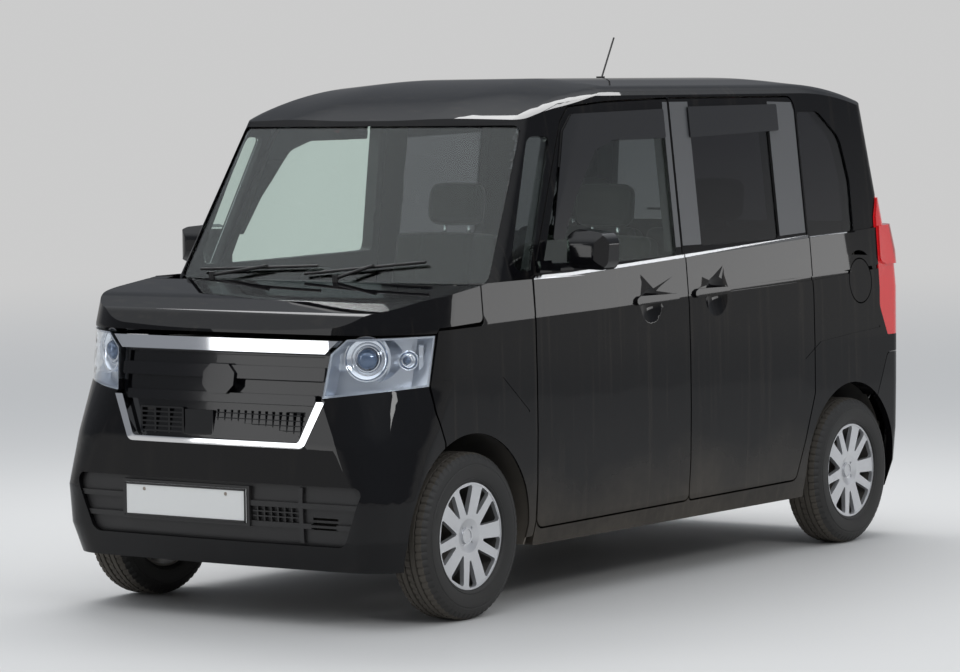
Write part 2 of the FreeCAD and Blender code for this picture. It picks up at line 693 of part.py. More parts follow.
def grille():
    """Make the dark part of the grille with its slats, boss and vents."""
    pieces = [front_layer(both_ways([(350, 604, 20), (430, 744, 0), (430, 899, 0)]), 34, 44)]
    pieces.append(front_layer(both_ways([(366, 596, 20), (428, 726, 0), (428, 744, 0), (440, 897, 0)]), 24.3, 36).cut(
        front_prism(both_ways([(352, 606, 20), (414, 744, 0), (414, 885, 0)]), 1000, 2000)))
    for half, low, high in SLATS:
        pieces.append(front_layer(both_ways([(half, low, 6), (half + 2, high, 6)]), 10, 40))
    pieces.append(front_layer(both_ways([(38, 757, 0), (66, 785, 0), (66, 826, 0), (38, 854, 0)]), 1, 40))
    low, high = VENT_Z
    bars = []
    for y in (-340, -280, -220, -160):
        bars.append(box(VENT_X, VENT_X + 14, sy(y) - 4, sy(y) + 4, low, high))
    for i in range(6):
        z = low + 4 + i * 16
        bars.append(box(VENT_X, VENT_X + 14, sy(-340), sy(-160), z, z + 6))
    bars.append(box(VENT_X, VENT_X + 14, sy(-150), sy(-30), low + 4, high - 4))
    for i in range(5):
        z = low + 8 + i * 17
        bars.append(box(VENT_X, VENT_X + 9, sy(-20), sy(340), z, z + 3))
    for i in range(13):
        y = sy(-16) + i * 29
        bars.append(box(VENT_X, VENT_X + 9, y, y + 3, low, high))
    plate = box(VENT_X - 8, VENT_X, sy(-345), sy(345), low - 2, high + 2)
    pieces.append(plate.multiFuse(bars))
    return joined(pieces[0], *pieces[1:])


# Level of each bar of the lower insert, and places of its slots (y range, z).
INSERT_BARS = ((394, 412), (328, 345))
INSERT_SLOTS = (325, 341, 357)


def lower_grille():
    """Make the dark insert of the lower opening with its bars, mesh, divider and slots."""
    panel = front_layer(grown(LOWER_OPENING, -SEAT_GAP), 18, 32)
    holder = box(NOSE_X - 34, NOSE_X - PLATE_BACK, PLATE_Y - 272, PLATE_Y + 272, PLATE_Z - 66, PLATE_Z + 66)
    bars = [box(1400, 1800, sy(-640), sy(640), low, high) for low, high in INSERT_BARS]
    bars.append(box(1400, 1800, sy(352), sy(368), 280, 462))
    for i in range(6):
        y = sy(182) + i * 28
        bars.append(box(1400, 1800, y, y + 4, 346, 393))
    for z in (360, 376):
        bars.append(box(1400, 1800, sy(165), sy(352), z, z + 4))
    block = bars[0].multiFuse(bars[1:]).common(front_prism(grown(LOWER_OPENING, -2), 1000, 2000))
    panel = panel.fuse(block.common(lower_body(7)).cut(lower_body(22)))
    for z in INSERT_SLOTS:
        panel = panel.cut(box(1300, 1800, sy(400), sy(500), z, z + 8))
    return panel.fuse(holder)


BONNET_PIN_X = sx(1085)
BONNET_PIN_Z = 1085.0
BONNET_ARM_Y = sy(566)


def bonnet():
    """Make the bonnet with its two hinge arms."""
    lid = LOWER.common(side_prism(BONNET_SIDE)).cut(lower_skin(LID_THICK, LID_THICK))
    for side in (1, -1):
        y = side * BONNET_ARM_Y
        arm = box(BONNET_PIN_X, sx(1190), y - 6, y + 6, BONNET_PIN_Z - 16, BONNET_PIN_Z - 4)
        arm = arm.fuse(rod(V(BONNET_PIN_X, y - 6, BONNET_PIN_Z), V(BONNET_PIN_X, y + 6, BONNET_PIN_Z), 16))
        arm = arm.cut(rod(V(BONNET_PIN_X, y - 7, BONNET_PIN_Z), V(BONNET_PIN_X, y + 7, BONNET_PIN_Z), 5 + PIN_GAP))
        lid = lid.fuse(arm)
    return lid


GATE_PIN_X = GATE_TOP_X + HINGE_BACK
GATE_PIN_Z = HEIGHT - 68
GATE_ARM_Y = sy(400)


def roof():
    """Make the roof with pockets for the tailgate's hinges."""
    seam = ROOF_SEAM + [(-1900, 1900, 0), (1100, 1900, 0)]
    panel = wall(side_prism([(x, z + SEAT_GAP, r) for x, z, r in seam])).cut(windscreen_prism(0))
    gate = front_prism(grown(REAR_GATE, SEAM), -2500, GATE_TOP_X + SEAM)
    panel = panel.cut(gate)
    for side in (1, -1):
        y = side * GATE_ARM_Y
        pocket = box(GATE_TOP_X - 10, GATE_PIN_X + 14, y - ARM_WIDE / 2 - 2, y + ARM_WIDE / 2 + 2, 1600, GATE_PIN_Z + 10)
        panel = panel.cut(pocket)
        panel = panel.fuse(rod(V(GATE_PIN_X, y - 20, GATE_PIN_Z), V(GATE_PIN_X, y + 20, GATE_PIN_Z), PIN_RADIUS))
    return panel


def cowl():
    """Make the tray between the bonnet and the windscreen."""
    tray = box(sx(985), sx(1149), sy(-650), sy(650), 1076 + SEAT_GAP, 1096)
    for side in (1, -1):
        y = side * BONNET_ARM_Y
        tray = tray.cut(box(sx(900), sx(1200), y - 18, y + 18, 1000, 1200))
    return tray.common(lower_skin(12, 8)).cut(windscreen_prism(1))


def screen_point(y, z, out=0.0):
    """Give the windscreen's outer point at a height and a distance from the middle."""
    low, high = UPPER_LEVELS
    share = (z - low[0]) / (high[0] - low[0])
    bow_x, bow_y, pillar_x, pillar_y = [low[i] + share * (high[i] - low[i]) for i in range(1, 5)]
    lean = math.atan2(bow_x - pillar_x, pillar_y - bow_y)
    start = bow_y - SCREEN_BOW * math.tan(lean / 2)
    reach = max(abs(y) - start, 0)
    if reach < SCREEN_BOW * math.sin(lean):
        x = bow_x - (SCREEN_BOW - math.sqrt(SCREEN_BOW ** 2 - reach ** 2))
    else:
        x = bow_x - (abs(y) - bow_y) * math.tan(lean)
    return V(sx(x) + 0.88 * out, sy(y), sz(z) + 0.47 * out)


# Pivot and blade ends of each wiper on the screen (y, z).
WIPERS = (((-480, 1104), (-560, 1128), (-10, 1150)), ((90, 1104), (-60, 1122), (420, 1168)))


def wipers():
    """Make the two parked wipers, each a blade on an arm."""
    pieces = []
    for pivot, blade_a, blade_b in WIPERS:
        route = []
        for i in range(6):
            y = blade_a[0] + (blade_b[0] - blade_a[0]) * i / 5
            z = blade_a[1] + (blade_b[1] - blade_a[1]) * i / 5
            route.append(screen_point(y, z, 9))
        runs = [rod(route[i], route[i + 1], 5) for i in range(5)]
        elbows = [Part.makeSphere(5.6, point) for point in route[1:5]]
        blade = runs[0].multiFuse(runs[1:] + elbows)
        foot = screen_point(*pivot, 22)
        elbow = route[3] + V(8, 0, 5)
        arm = rod(foot, elbow, 6).fuse(rod(elbow, route[3], 5))
        spindle = rod(V(foot.x, foot.y, 1096 + SEAT_GAP), foot + V(0, 0, 12), 11)
        pieces.append(joined(blade, arm, spindle))
    return Part.makeCompound(pieces)


def windscreen():
    block = windscreen_prism(-SEAT_GAP).common(upper_body(GLASS_INSET))
    return block.cut(upper_body(GLASS_INSET + GLASS_THICK))


# Rear end.
TAILGATE_WINDOW = both_ways([(560, 1224, 50), (510, 1650, 60)])
REAR_BUMPER_LINE = 505.0


def tailgate():
    gate = wall(front_prism(REAR_GATE, -2500, GATE_TOP_X))
    gate = gate.cut(front_prism(TAILGATE_WINDOW, -2500, REAR_AXLE_X))
    gate = gate.cut(cross_cylinder(GATE_PIN_X, GATE_PIN_Z, HINGE_SWEEP, -1200, 1200))
    for side in (1, -1):
        gate = gate.fuse(hinge_arm(lambda u, v, w: V(GATE_PIN_X + u, side * GATE_ARM_Y + w, GATE_PIN_Z + v)))
    return gate


def tailgate_glass():
    block = front_prism(grown(TAILGATE_WINDOW, -SEAT_GAP), -2500, REAR_AXLE_X)
    return block.common(upper_body(GLASS_INSET)).cut(upper_body(GLASS_INSET + GLASS_THICK))


def tail_lamp():
    """Make the left tail lamp, whose upper part swells out of the flank."""
    swell = side_prism(TAIL_LAMP_SWELL, 300, 1200)
    belt = side_prism([(x, z + 5, r) for x, z, r in BELT])
    low = swell.common(lower_body(-TAIL_LAMP_OUT)).common(belt)
    high = swell.common(upper_body(-TAIL_LAMP_OUT))
    block = side_wall(TAIL_LAMP).fuse(low.cut(INNER)).fuse(high.cut(INNER))
    return block.cut(front_prism(grown(REAR_GATE, SEAM), -2500, REAR_AXLE_X))


def rear_bumper():
    shell = LOWER.cut(lower_body(BUMPER_THICK)).common(side_prism(REAR_BUMPER))
    shell = shell.cut(arch_cut(REAR_AXLE_X + 10)).cut(mirrored(arch_cut(REAR_AXLE_X + 10)))
    shell = shell.cut(front_prism(grown(REAR_GATE, SEAM), -2500, REAR_AXLE_X))
    return shell.common(box(-2500, 0, -1200, 1200, 165, 2000))


# Frame, floor and running gear.
FLOOR_LOW = 318.0
FLOOR_HIGH = 345.0
SILL_LOW = 214.0
LOAD_FLOOR = 440.0
REAR_STEP_X = sx(-900)
FRONT_HOUSE_Y = 400.0
REAR_HOUSE_Y = 520.0
TOWER_TOP = 905.0


def wheel_house(x, inner_y, radius, wall_low):
    """Make the liner above a left wheel with its inner wall, open inwards below a height."""
    outer = cross_cylinder(x, WHEEL_Z + 4, radius + LINER, sy(inner_y) - LINER, 1200)
    hollow = cross_cylinder(x, WHEEL_Z + 4, radius, sy(inner_y), 1201)
    under = cross_cylinder(x, WHEEL_Z + 4, radius, sy(inner_y) - LINER - 1, 1201)
    under = under.common(box(-2500, 2500, 0, 1202, 0, wall_low))
    return outer.cut(hollow).cut(under).common(box(-2500, 2500, 0, 1200, SILL_LOW, 1200))


def underbody():
    """Make the floor, sills, bulkhead, rails and wheel houses."""
    inside = lower_body(DOOR_THICK + SEAT_GAP)
    thin_inside = lower_skin(SHEET + SEAT_GAP, SHEET)
    floor = box(REAR_STEP_X, sx(1010), sy(-680), sy(680), FLOOR_LOW, FLOOR_HIGH)
    floor = floor.fuse(box(REAR_STEP_X - 20, REAR_STEP_X, sy(-680), sy(680), FLOOR_LOW, LOAD_FLOOR))
    floor = floor.fuse(box(sx(-1660), REAR_STEP_X, sy(-680), sy(680), LOAD_FLOOR - 25, LOAD_FLOOR))
    bulkhead = box(sx(985), sx(1010), sy(-655), sy(655), FLOOR_LOW, 1076)
    shape = floor.fuse(bulkhead)
    for side in (1, -1):
        sill = box(sx(-930), sx(893), min(side * sy(585), side * sy(690)),
                   max(side * sy(585), side * sy(690)), SILL_LOW, FLOOR_HIGH)
        rail = box(sx(1000), sx(1560), min(side * sy(300), side * sy(384)),
                   max(side * sy(300), side * sy(384)), 400, 480)
        shape = shape.fuse(sill).fuse(rail)
    shape = shape.common(inside)
    for x in (sx(700), sx(-750)):
        pad = box(x - 35, x + 35, sy(598), sy(634), SILL_LOW - 10, SILL_LOW + 4)
        shape = shape.fuse(pad).fuse(mirrored(pad))
    tower_x = FRONT_AXLE_X - 12
    for side in (1, -1):
        front = wheel_house(FRONT_AXLE_X, FRONT_HOUSE_Y, ARCH_RADIUS + 3, 0.1).common(thin_inside)
        front = front.cut(box(sx(1380), 2500, 0, 1200, 0, 1200).cut(lower_body(BUMPER_THICK + SEAT_GAP)))
        tower = box(tower_x - 105, tower_x + 105, sy(392), sy(620), 560, TOWER_TOP)
        tower = tower.cut(box(tower_x - 96, tower_x + 96, sy(401), sy(611), 500, TOWER_TOP - 9))
        hollow = cross_cylinder(FRONT_AXLE_X, WHEEL_Z + 4, ARCH_RADIUS + 3, sy(FRONT_HOUSE_Y), 1201)
        tower = tower.cut(hollow)
        front = front.cut(box(tower_x - 96, tower_x + 96, sy(401), sy(611), 500, 800)).fuse(tower)
        rear = wheel_house(REAR_AXLE_X + 10, REAR_HOUSE_Y, ARCH_RADIUS + 3, LOAD_FLOOR - 20).common(inside)
        if side < 0:
            front, rear = mirrored(front), mirrored(rear)
        shape = shape.fuse(front).fuse(rear)
    support = box(sx(1545), sx(1568), sy(-420), sy(420), 250, 880)
    front_beam = box(sx(1550), 2500, sy(-480), sy(480), 492, 560).common(lower_body(BUMPER_THICK + SEAT_GAP))
    rear_beam = box(-2500, sx(-1620), sy(-500), sy(500), 380, 470).common(lower_body(BUMPER_THICK + SEAT_GAP))
    shape = shape.fuse(support).fuse(front_beam).fuse(rear_beam)
    for x, house_y in ((FRONT_AXLE_X, FRONT_HOUSE_Y), (REAR_AXLE_X + 10, REAR_HOUSE_Y)):
        hollow = cross_cylinder(x, WHEEL_Z + 4, ARCH_RADIUS + 3, sy(house_y), 1201)
        shape = shape.cut(hollow).cut(mirrored(hollow))
    for side in (1, -1):
        bush = box(REAR_AXLE_X + 395, REAR_AXLE_X + 445, side * 480 - 34, side * 480 + 34, 280, FLOOR_LOW + 2)
        bush = bush.cut(rod(V(REAR_AXLE_X + 380, side * 480, 286.2), V(REAR_AXLE_X + 460, side * 480, 289.8), 26 + SEAT_GAP))
        shape = shape.fuse(bush)
        y = side * BONNET_ARM_Y
        ear = box(sx(1000), BONNET_PIN_X + 10, -4, 4, 1050, BONNET_PIN_Z + 8).translated(V(0, y + side * 12, 0))
        shape = shape.fuse(ear)
        shape = shape.fuse(rod(V(BONNET_PIN_X, y - 6, BONNET_PIN_Z), V(BONNET_PIN_X, y + side * 14, BONNET_PIN_Z), 5))
    return shape.removeSplitter()


KINGPIN_LOW = V(FRONT_AXLE_X + 6, WHEEL_Y - 66, 190)
KINGPIN_HIGH = V(FRONT_AXLE_X - 12, WHEEL_Y - 148, 890)
BALL_RADIUS = 7.0


def tyre(x, y):
    """Make a tyre by turning its section about the axle."""
    half = TYRE_WIDTH / 2
    section = [
        (RIM_RADIUS + SEAT_GAP, -half + 16, 0), (RIM_RADIUS + 26, -half + 2, 0), (RIM_RADIUS + 52, -half, 0),
        (TYRE_RADIUS - 22, -half + 7, 0), (TYRE_RADIUS - 5, -half + 19, 0), (TYRE_RADIUS, -half + 42, 0),
        (TYRE_RADIUS, half - 42, 0), (TYRE_RADIUS - 5, half - 19, 0), (TYRE_RADIUS - 22, half - 7, 0),
        (RIM_RADIUS + 52, half, 0), (RIM_RADIUS + 26, half - 2, 0), (RIM_RADIUS + SEAT_GAP, half - 16, 0),
    ]
    wire = rounded(section, lambda p: V(x, y + p.y, WHEEL_Z + p.x))
    return Part.Face(wire).revolve(V(x, y, WHEEL_Z), V(0, 1, 0), 360)


# Angles of the wide and the narrow spokes from the top, and their half widths at the hub and the rim.
WIDE_SPOKE = (-15.0, 15.0, 27.0)
NARROW_SPOKE = (27.0, 10.0, 14.0)
WINDOW_IN = 62.0
WINDOW_OUT = 171.0


def window_wire(first, second, y, shrink):
    """Outline the opening between two spokes of the rim at a depth, made smaller by a step."""
    corners = []
    for spoke, sign in ((first, 1), (second, -1)):
        angle = math.radians(spoke[0])
        along = V(math.sin(angle), 0, math.cos(angle))
        across = V(math.cos(angle), 0, -math.sin(angle)) * sign
        for reach, half in ((WINDOW_IN + shrink, spoke[1]), (WINDOW_OUT - shrink, spoke[2])):
            corners.append(along * reach + across * (half + shrink))
    inner_a, outer_a, inner_b, outer_b = corners
    outline = [(inner_a, 7), (outer_a, 9), (outer_b, 9), (inner_b, 7)]
    if (inner_b - inner_a).dot(V(outer_b.z, 0, -outer_b.x)) * 1.0 > 0 or (inner_b - inner_a).Length < 20:
        inner = (inner_a + inner_b) * 0.5
        outline = [(inner, 5), (outer_a, 9), (outer_b, 9)]
    return rounded([(p.x, p.z, r) for p, r in outline], lambda p: V(p.x, y, p.y))


def rim(x, y, side):
    """Make a left rim whose dished face has wide and narrow spokes, or its mirror image."""
    half = RIM_WIDTH / 2
    out = half - 1.5
    profile = [
        (0, out - 17, 0), (30, out - 15, 0), (58, out - 6, 12), (120, out - 2, 60), (RIM_RADIUS - 14, out, 8),
        (RIM_RADIUS, out, 0), (RIM_RADIUS, out - 8, 0), (RIM_RADIUS - 9, out - 14, 0),
        (60, out - 24, 20), (44, out - 60, 10), (0, out - 60, 0),
    ]
    wire = rounded(profile, lambda p: V(0, p.y, p.x))
    disc = Part.Face(wire).revolve(V(0, 0, 0), V(0, 1, 0), 360)
    barrel = rod(V(0, -half, 0), V(0, half, 0), RIM_RADIUS, RIM_RADIUS - RIM_WALL)
    windows = []
    for first, second in ((WIDE_SPOKE, NARROW_SPOKE), (NARROW_SPOKE, (WIDE_SPOKE[0] + 72,) + WIDE_SPOKE[1:])):
        wires = [window_wire(first, second, out + 2, 0), window_wire(first, second, out - 30, 3.5)]
        window = Part.makeLoft(wires, True, True)
        for i in range(SPOKES):
            turned = window.copy()
            turned.rotate(V(0, 0, 0), V(0, 1, 0), 72 * i)
            windows.append(turned)
    disc = disc.cut(Part.makeCompound(windows))
    cap = rod(V(0, out - 20, 0), V(0, out - 10, 0), 27).cut(rod(V(0, out - 13, 0), V(0, out, 0), 22))
    shape = barrel.fuse(disc).fuse(cap).fuse(rod(V(0, -20, 0), V(0, out - 24, 0), 46))
    for i in range(4):
        angle = math.radians(45 + 90 * i)
        nut = V(34 * math.cos(angle), 0, 34 * math.sin(angle))
        shape = shape.cut(rod(nut + V(0, out - 17, 0), nut + V(0, out + 5, 0), 6))
    shape = shape.cut(rod(V(0, -90, 0), V(0, -10, 0), HUB_RADIUS + PIN_GAP))
    shape = shape.translated(V(x, y, WHEEL_Z))
    if side < 0:
        shape = mirrored(shape)
    return shape


def knuckle():
    """Make the left knuckle with its hub stub, strut tube and spring."""
    hub = rod(V(FRONT_AXLE_X, WHEEL_Y - 75, WHEEL_Z), V(FRONT_AXLE_X, WHEEL_Y - 10 - PIN_GAP, WHEEL_Z), HUB_RADIUS)
    disc = rod(V(FRONT_AXLE_X, WHEEL_Y - 46, WHEEL_Z), V(FRONT_AXLE_X, WHEEL_Y - 36, WHEEL_Z), 118)
    strut_low = V(FRONT_AXLE_X + 4, WHEEL_Y - 108, 330)
    carrier = box(FRONT_AXLE_X - 34, FRONT_AXLE_X + 34, WHEEL_Y - 100, WHEEL_Y - 66, 222, 400)
    clamp = box(FRONT_AXLE_X - 30, FRONT_AXLE_X + 36, WHEEL_Y - 130, WHEEL_Y - 90, 330, 420)
    lean = KINGPIN_HIGH - KINGPIN_LOW
    lean.normalize()
    ball = rod(KINGPIN_LOW - lean * 24, KINGPIN_LOW + lean * 44, BALL_RADIUS)
    ball = ball.fuse(rod(KINGPIN_LOW + lean * 10, KINGPIN_LOW + lean * 44, 15))
    foot = box(FRONT_AXLE_X - 20, FRONT_AXLE_X + 30, WHEEL_Y - 100, WHEEL_Y - 50, 222, 246)
    tube = rod(strut_low, KINGPIN_HIGH, 24)
    axis = KINGPIN_HIGH - strut_low
    seat_low = strut_low + axis * 0.53
    spring = rod(seat_low, strut_low + axis * 0.94, 56)
    dish = rod(seat_low - axis * 0.012, seat_low + axis * 0.01, 66)
    return joined(hub, disc, carrier, clamp, ball, foot, tube, spring, dish)


def front_suspension():
    """Make the subframe with the two lower arms."""
    beam = box(FRONT_AXLE_X - 150, FRONT_AXLE_X + 60, sy(-300), sy(300), 190, 250)
    mounts = beam
    for side in (1, -1):
        leg = box(FRONT_AXLE_X - 150, FRONT_AXLE_X - 90, min(side * sy(300), side * sy(340)),
                  max(side * sy(300), side * sy(340)), 190, 400)
        leg_front = box(FRONT_AXLE_X + 10, FRONT_AXLE_X + 60, min(side * sy(300), side * sy(340)),
                        max(side * sy(300), side * sy(340)), 190, 400)
        mounts = mounts.fuse(leg).fuse(leg_front)
    arms = []
    for side in (1, -1):
        arm = Part.Face(Part.makePolygon([
            V(FRONT_AXLE_X - 140, side * (sy(300)), 176), V(FRONT_AXLE_X + 50, side * sy(300), 176),
            V(KINGPIN_LOW.x + 15, side * (KINGPIN_LOW.y + 10), 176),
            V(KINGPIN_LOW.x - 15, side * (KINGPIN_LOW.y + 10), 176),
            V(FRONT_AXLE_X - 140, side * (sy(300)), 176),
        ])).extrude(V(0, 0, 14 - PIN_GAP))
        mounts = mounts.fuse(arm).fuse(box(FRONT_AXLE_X - 140, FRONT_AXLE_X + 50, min(side * sy(280), side * sy(310)),
                                           max(side * sy(280), side * sy(310)), 176, 200))
    lean = (KINGPIN_HIGH - KINGPIN_LOW).normalize()
    bore = rod(KINGPIN_LOW - lean * 60, KINGPIN_LOW + lean * 60, BALL_RADIUS + PIN_GAP)
    return mounts.removeSplitter().cut(bore).cut(mirrored(bore))


def rear_axle():
    """Make the rear beam with its trailing arms, hub stubs, springs and dampers."""
    beam = rod(V(REAR_AXLE_X + 60, -490, 262), V(REAR_AXLE_X + 60, 490, 262), 36)
    shape = beam
    for side in (1, -1):
        stub = rod(V(REAR_AXLE_X, side * 480, WHEEL_Z), V(REAR_AXLE_X, side * (WHEEL_Y - 10 - PIN_GAP), WHEEL_Z), HUB_RADIUS)
        drum = rod(V(REAR_AXLE_X, side * (WHEEL_Y - 62), WHEEL_Z), V(REAR_AXLE_X, side * (WHEEL_Y - 24), WHEEL_Z), 105)
        arm = rod(V(REAR_AXLE_X, side * 480, 270), V(REAR_AXLE_X + 420, side * 480, 288), 26)
        shape = shape.fuse(stub).fuse(drum).fuse(arm)
    return shape.removeSplitter()


def engine():
    """Make the engine and gearbox as one plain block between its two mounts on the rails."""
    block = box(sx(1030), sx(1500), sy(-290), sy(270), 300, 860)
    return block.fuse(box(sx(1380), sx(1440), sy(-300) + SEAT_GAP, sy(300) - SEAT_GAP, 415, 465))


def fuel_tank():
    return box(sx(-120), sx(560), sy(-440), sy(150), 176, FLOOR_LOW - SEAT_GAP)


def exhaust():
    route = [(1060, 262), (-960, 262), (-1110, 352), (REAR_AXLE_X - 40, 352), (-1440, 285)]
    points = [V(sx(x), sy(240), z) for x, z in route]
    shape = box(sx(-1600), sx(-1430), sy(-420), sy(320), 215, 345)
    for start, end in zip(points, points[1:]):
        shape = shape.fuse(rod(start, end, 22)).fuse(Part.makeSphere(22, start))
    for x, low, high in ((600, 262, FLOOR_LOW), (-500, 262, FLOOR_LOW), (-1520, 300, LOAD_FLOOR - 25)):
        shape = shape.fuse(rod(V(sx(x), sy(240), low), V(sx(x), sy(240), high - SEAT_GAP), 7))
    return shape.removeSplitter()


# Cabin.
SEAT_Y = 330.0
COLUMN_LOW = V(sx(900), -SEAT_Y, 760)
COLUMN_HIGH = V(sx(560), -SEAT_Y, 960)
HUB_BACK = 18.0


def seat(x, y, width, floor_z):
    """Make a seat with its cushion, back and headrest."""
    half = width / 2
    base = box(x - 150, x + 200, y - half + 50, y + half - 50, floor_z + SEAT_GAP, floor_z + 190)
    cushion = box(x - 230, x + 280, y - half, y + half, floor_z + 190, floor_z + 320)
    back = box(x - 330, x - 210, y - half, y + half, floor_z + 240, floor_z + 900)
    back.rotate(V(x - 210, y, floor_z + 250), V(0, 1, 0), -12)
    rest = box(x - 470, x - 385, y - 120, y + 120, floor_z + 900, floor_z + 1060)
    post = rod(V(x - 425, y, floor_z + 820), V(x - 428, y, floor_z + 930), 20)
    return joined(base, cushion, back, rest, post)


def dashboard():
    profile = [(640, 940, 40), (660, 760, 30), (760, 620, 30), (984, 600, 0), (984, 1062, 0), (760, 1062, 60)]
    dash = side_prism(profile, sy(-640), sy(640))
    axis = COLUMN_HIGH - COLUMN_LOW
    axis.normalize()
    column = rod(COLUMN_LOW, COLUMN_HIGH - axis * (HUB_BACK + PIN_GAP), 34)
    post = box(HINGE_X - 12 - SEAT_GAP, HINGE_X + 66 + SEAT_GAP, sy(600) - SEAT_GAP, sy(700), 300, 1100)
    return dash.fuse(column).cut(pair(post))


def steering_wheel():
    """Make the wheel as a ring with three spokes about the column."""
    axis = COLUMN_HIGH - COLUMN_LOW
    axis.normalize()
    section = Part.makePolygon([
        V(175 + 15 * math.cos(math.radians(45 * i + 22.5)), 0, 15 * math.sin(math.radians(45 * i + 22.5)))
        for i in range(9)
    ])
    ring = Part.Face(section).revolve(V(0, 0, 0), V(0, 0, 1), 360)
    hub = Part.makeCylinder(48, 40, V(0, 0, -HUB_BACK), V(0, 0, 1))
    shape = ring.fuse(hub)
    for angle in (0, 180, 270):
        spoke = Part.makeBox(140, 34, 12, V(38, -17, -8))
        spoke.rotate(V(0, 0, 0), V(0, 0, 1), angle)
        shape = shape.fuse(spoke)
    tilt = math.degrees(math.atan2(axis.x, axis.z))
    shape.rotate(V(0, 0, 0), V(0, 0, 1), 90)
    shape.rotate(V(0, 0, 0), V(0, 1, 0), tilt)
    shape.translate(COLUMN_HIGH)
    return shape


def mirror():
    """Make the left door mirror on its foot."""
    front = [(770, 1144, 30), (928, 1136, 34), (934, 1262, 44), (776, 1279, 40)]
    plan = [(646, 766, 6), (646, 934, 8), (704, 938, 40), (744, 900, 60), (746, 800, 40), (724, 764, 24)]
    side = [(640, 1134, 10), (706, 1132, 40), (744, 1166, 40), (744, 1232, 50), (706, 1281, 40), (640, 1281, 10)]
    head = front_prism(front, sx(640), sx(760)).common(plan_prism(plan, 1100, 1300)).common(side_prism(side, 700, 1000))
    head = head.cut(front_prism(grown(front, -9), sx(640), sx(650)))
    foot = box(sx(745), sx(815), sy(690), sy(722), 1130, 1170)
    foot = foot.cut(upper_body(-SEAT_GAP)).cut(lower_skin(-SEAT_GAP))
    arm = box(sx(690), sx(770), sy(715), sy(775), 1136, 1162)
    return joined(head, foot, arm)


def front_plate():
    """Make the bare number plate on the front bumper."""
    back = NOSE_X - PLATE_BACK + SEAT_GAP
    return box(back, back + 3, PLATE_Y - 260, PLATE_Y + 260, PLATE_Z - 56, PLATE_Z + 56)


def antenna():
    foot = V(sx(-1112), sy(-300), HEIGHT - 14)
    pole = rod(foot + V(-4, 0, 12), foot + V(-98, 0, 176), 3.5)
    return rod(foot, foot + V(0, 0, 24), 17).fuse(pole).cut(UPPER.translated(V(0, 0, SEAT_GAP)))


def rear_wiper():
    """Make the tailgate's wiper, parked across the foot of its window."""
    x = sx(-1624)
    spindle = rod(V(x + 15.2, 0, 1246), V(x - 12, 0, 1246), 13)
    arm = rod(V(x - 8, 0, 1246), V(x - 6, -260, 1262), 6)
    blade = rod(V(x - 4, -80, 1262), V(x - 4, -420, 1264), 5)
    return joined(spindle, arm, blade)


os.makedirs("parts", exist_ok=True)


def write(name, shape):
    shape.exportStep("parts/" + name + ".step")


DOOR = front_door()
PANE = window_glass(FRONT_WINDOW)
MIRROR = mirror()
KNUCKLE = knuckle()

write("underbody", underbody())
FRAME = side_frame()
write("side_frames", Part.makeCompound([fuel_pocket(FRAME), mirrored(FRAME)]))
write("roof", roof())
write("fenders", pair(fender()))
write("front_bumper", front_bumper())
write("grille", grille())
write("grille_trim", grille_trim())
write("lower_grille", lower_grille())
write("headlamps", pair(headlamp()))
write("headlamp_lenses", pair(headlamp_lens()))
write("windscreen", windscreen())
write("pillar_glass", pair(window_glass(PILLAR_WINDOW)))
write("quarter_glass", pair(window_glass(QUARTER_WINDOW)))
write("sliding_doors", pair(sliding_door()))
write("sliding_door_glass", pair(window_glass(SLIDING_WINDOW)))
write("rear_bumper", rear_bumper())
write("tail_lamps", pair(tail_lamp()))
write("cowl", cowl())
write("engine", engine())
write("fuel_tank", fuel_tank())
write("exhaust", exhaust())
write("front_suspension", front_suspension())
write("rear_axle", rear_axle())
write("dashboard", dashboard())
write("front_seats", Part.makeCompound([seat(sx(250), y, 480, FLOOR_HIGH) for y in (-SEAT_Y, SEAT_Y)]))
write("rear_seats", Part.makeCompound([seat(sx(-560), y, 560, FLOOR_HIGH) for y in (-300, 300)]))
write("front_door_left", DOOR)
write("front_door_right", mirrored(DOOR))
write("door_glass_left", PANE)
write("door_glass_right", mirrored(PANE))
write("mirror_left", MIRROR)
write("mirror_right", mirrored(MIRROR))
write("bonnet", bonnet())
write("tailgate", tailgate())
write("tailgate_glass", tailgate_glass())
write("knuckle_left", KNUCKLE)
write("knuckle_right", mirrored(KNUCKLE))
write("steering_wheel", steering_wheel())
write("wipers", wipers())
write("fuel_lid", fuel_lid())
write("front_plate", front_plate())
write("antenna", antenna())
write("rear_wiper", rear_wiper())
for end, axle_x in (("front", FRONT_AXLE_X), ("rear", REAR_AXLE_X)):
    left_tyre = tyre(axle_x, WHEEL_Y)
    left_rim = rim(axle_x, WHEEL_Y, 1)
    write("tyre_" + end + "_left", left_tyre)
    write("tyre_" + end + "_right", mirrored(left_tyre))
    write("rim_" + end + "_left", left_rim)
    write("rim_" + end + "_right", mirrored(left_rim))
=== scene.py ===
"""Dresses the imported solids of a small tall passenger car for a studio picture.

Everything is in metres in the frame of the solids: X to the nose, Y to the car's left, Z up.
"""

from __future__ import annotations

import json
import logging
import math
from dataclasses import asdict, dataclass
from enum import Enum
from typing import Callable, Sequence

import bmesh
import bpy
from mathutils import Matrix, Vector

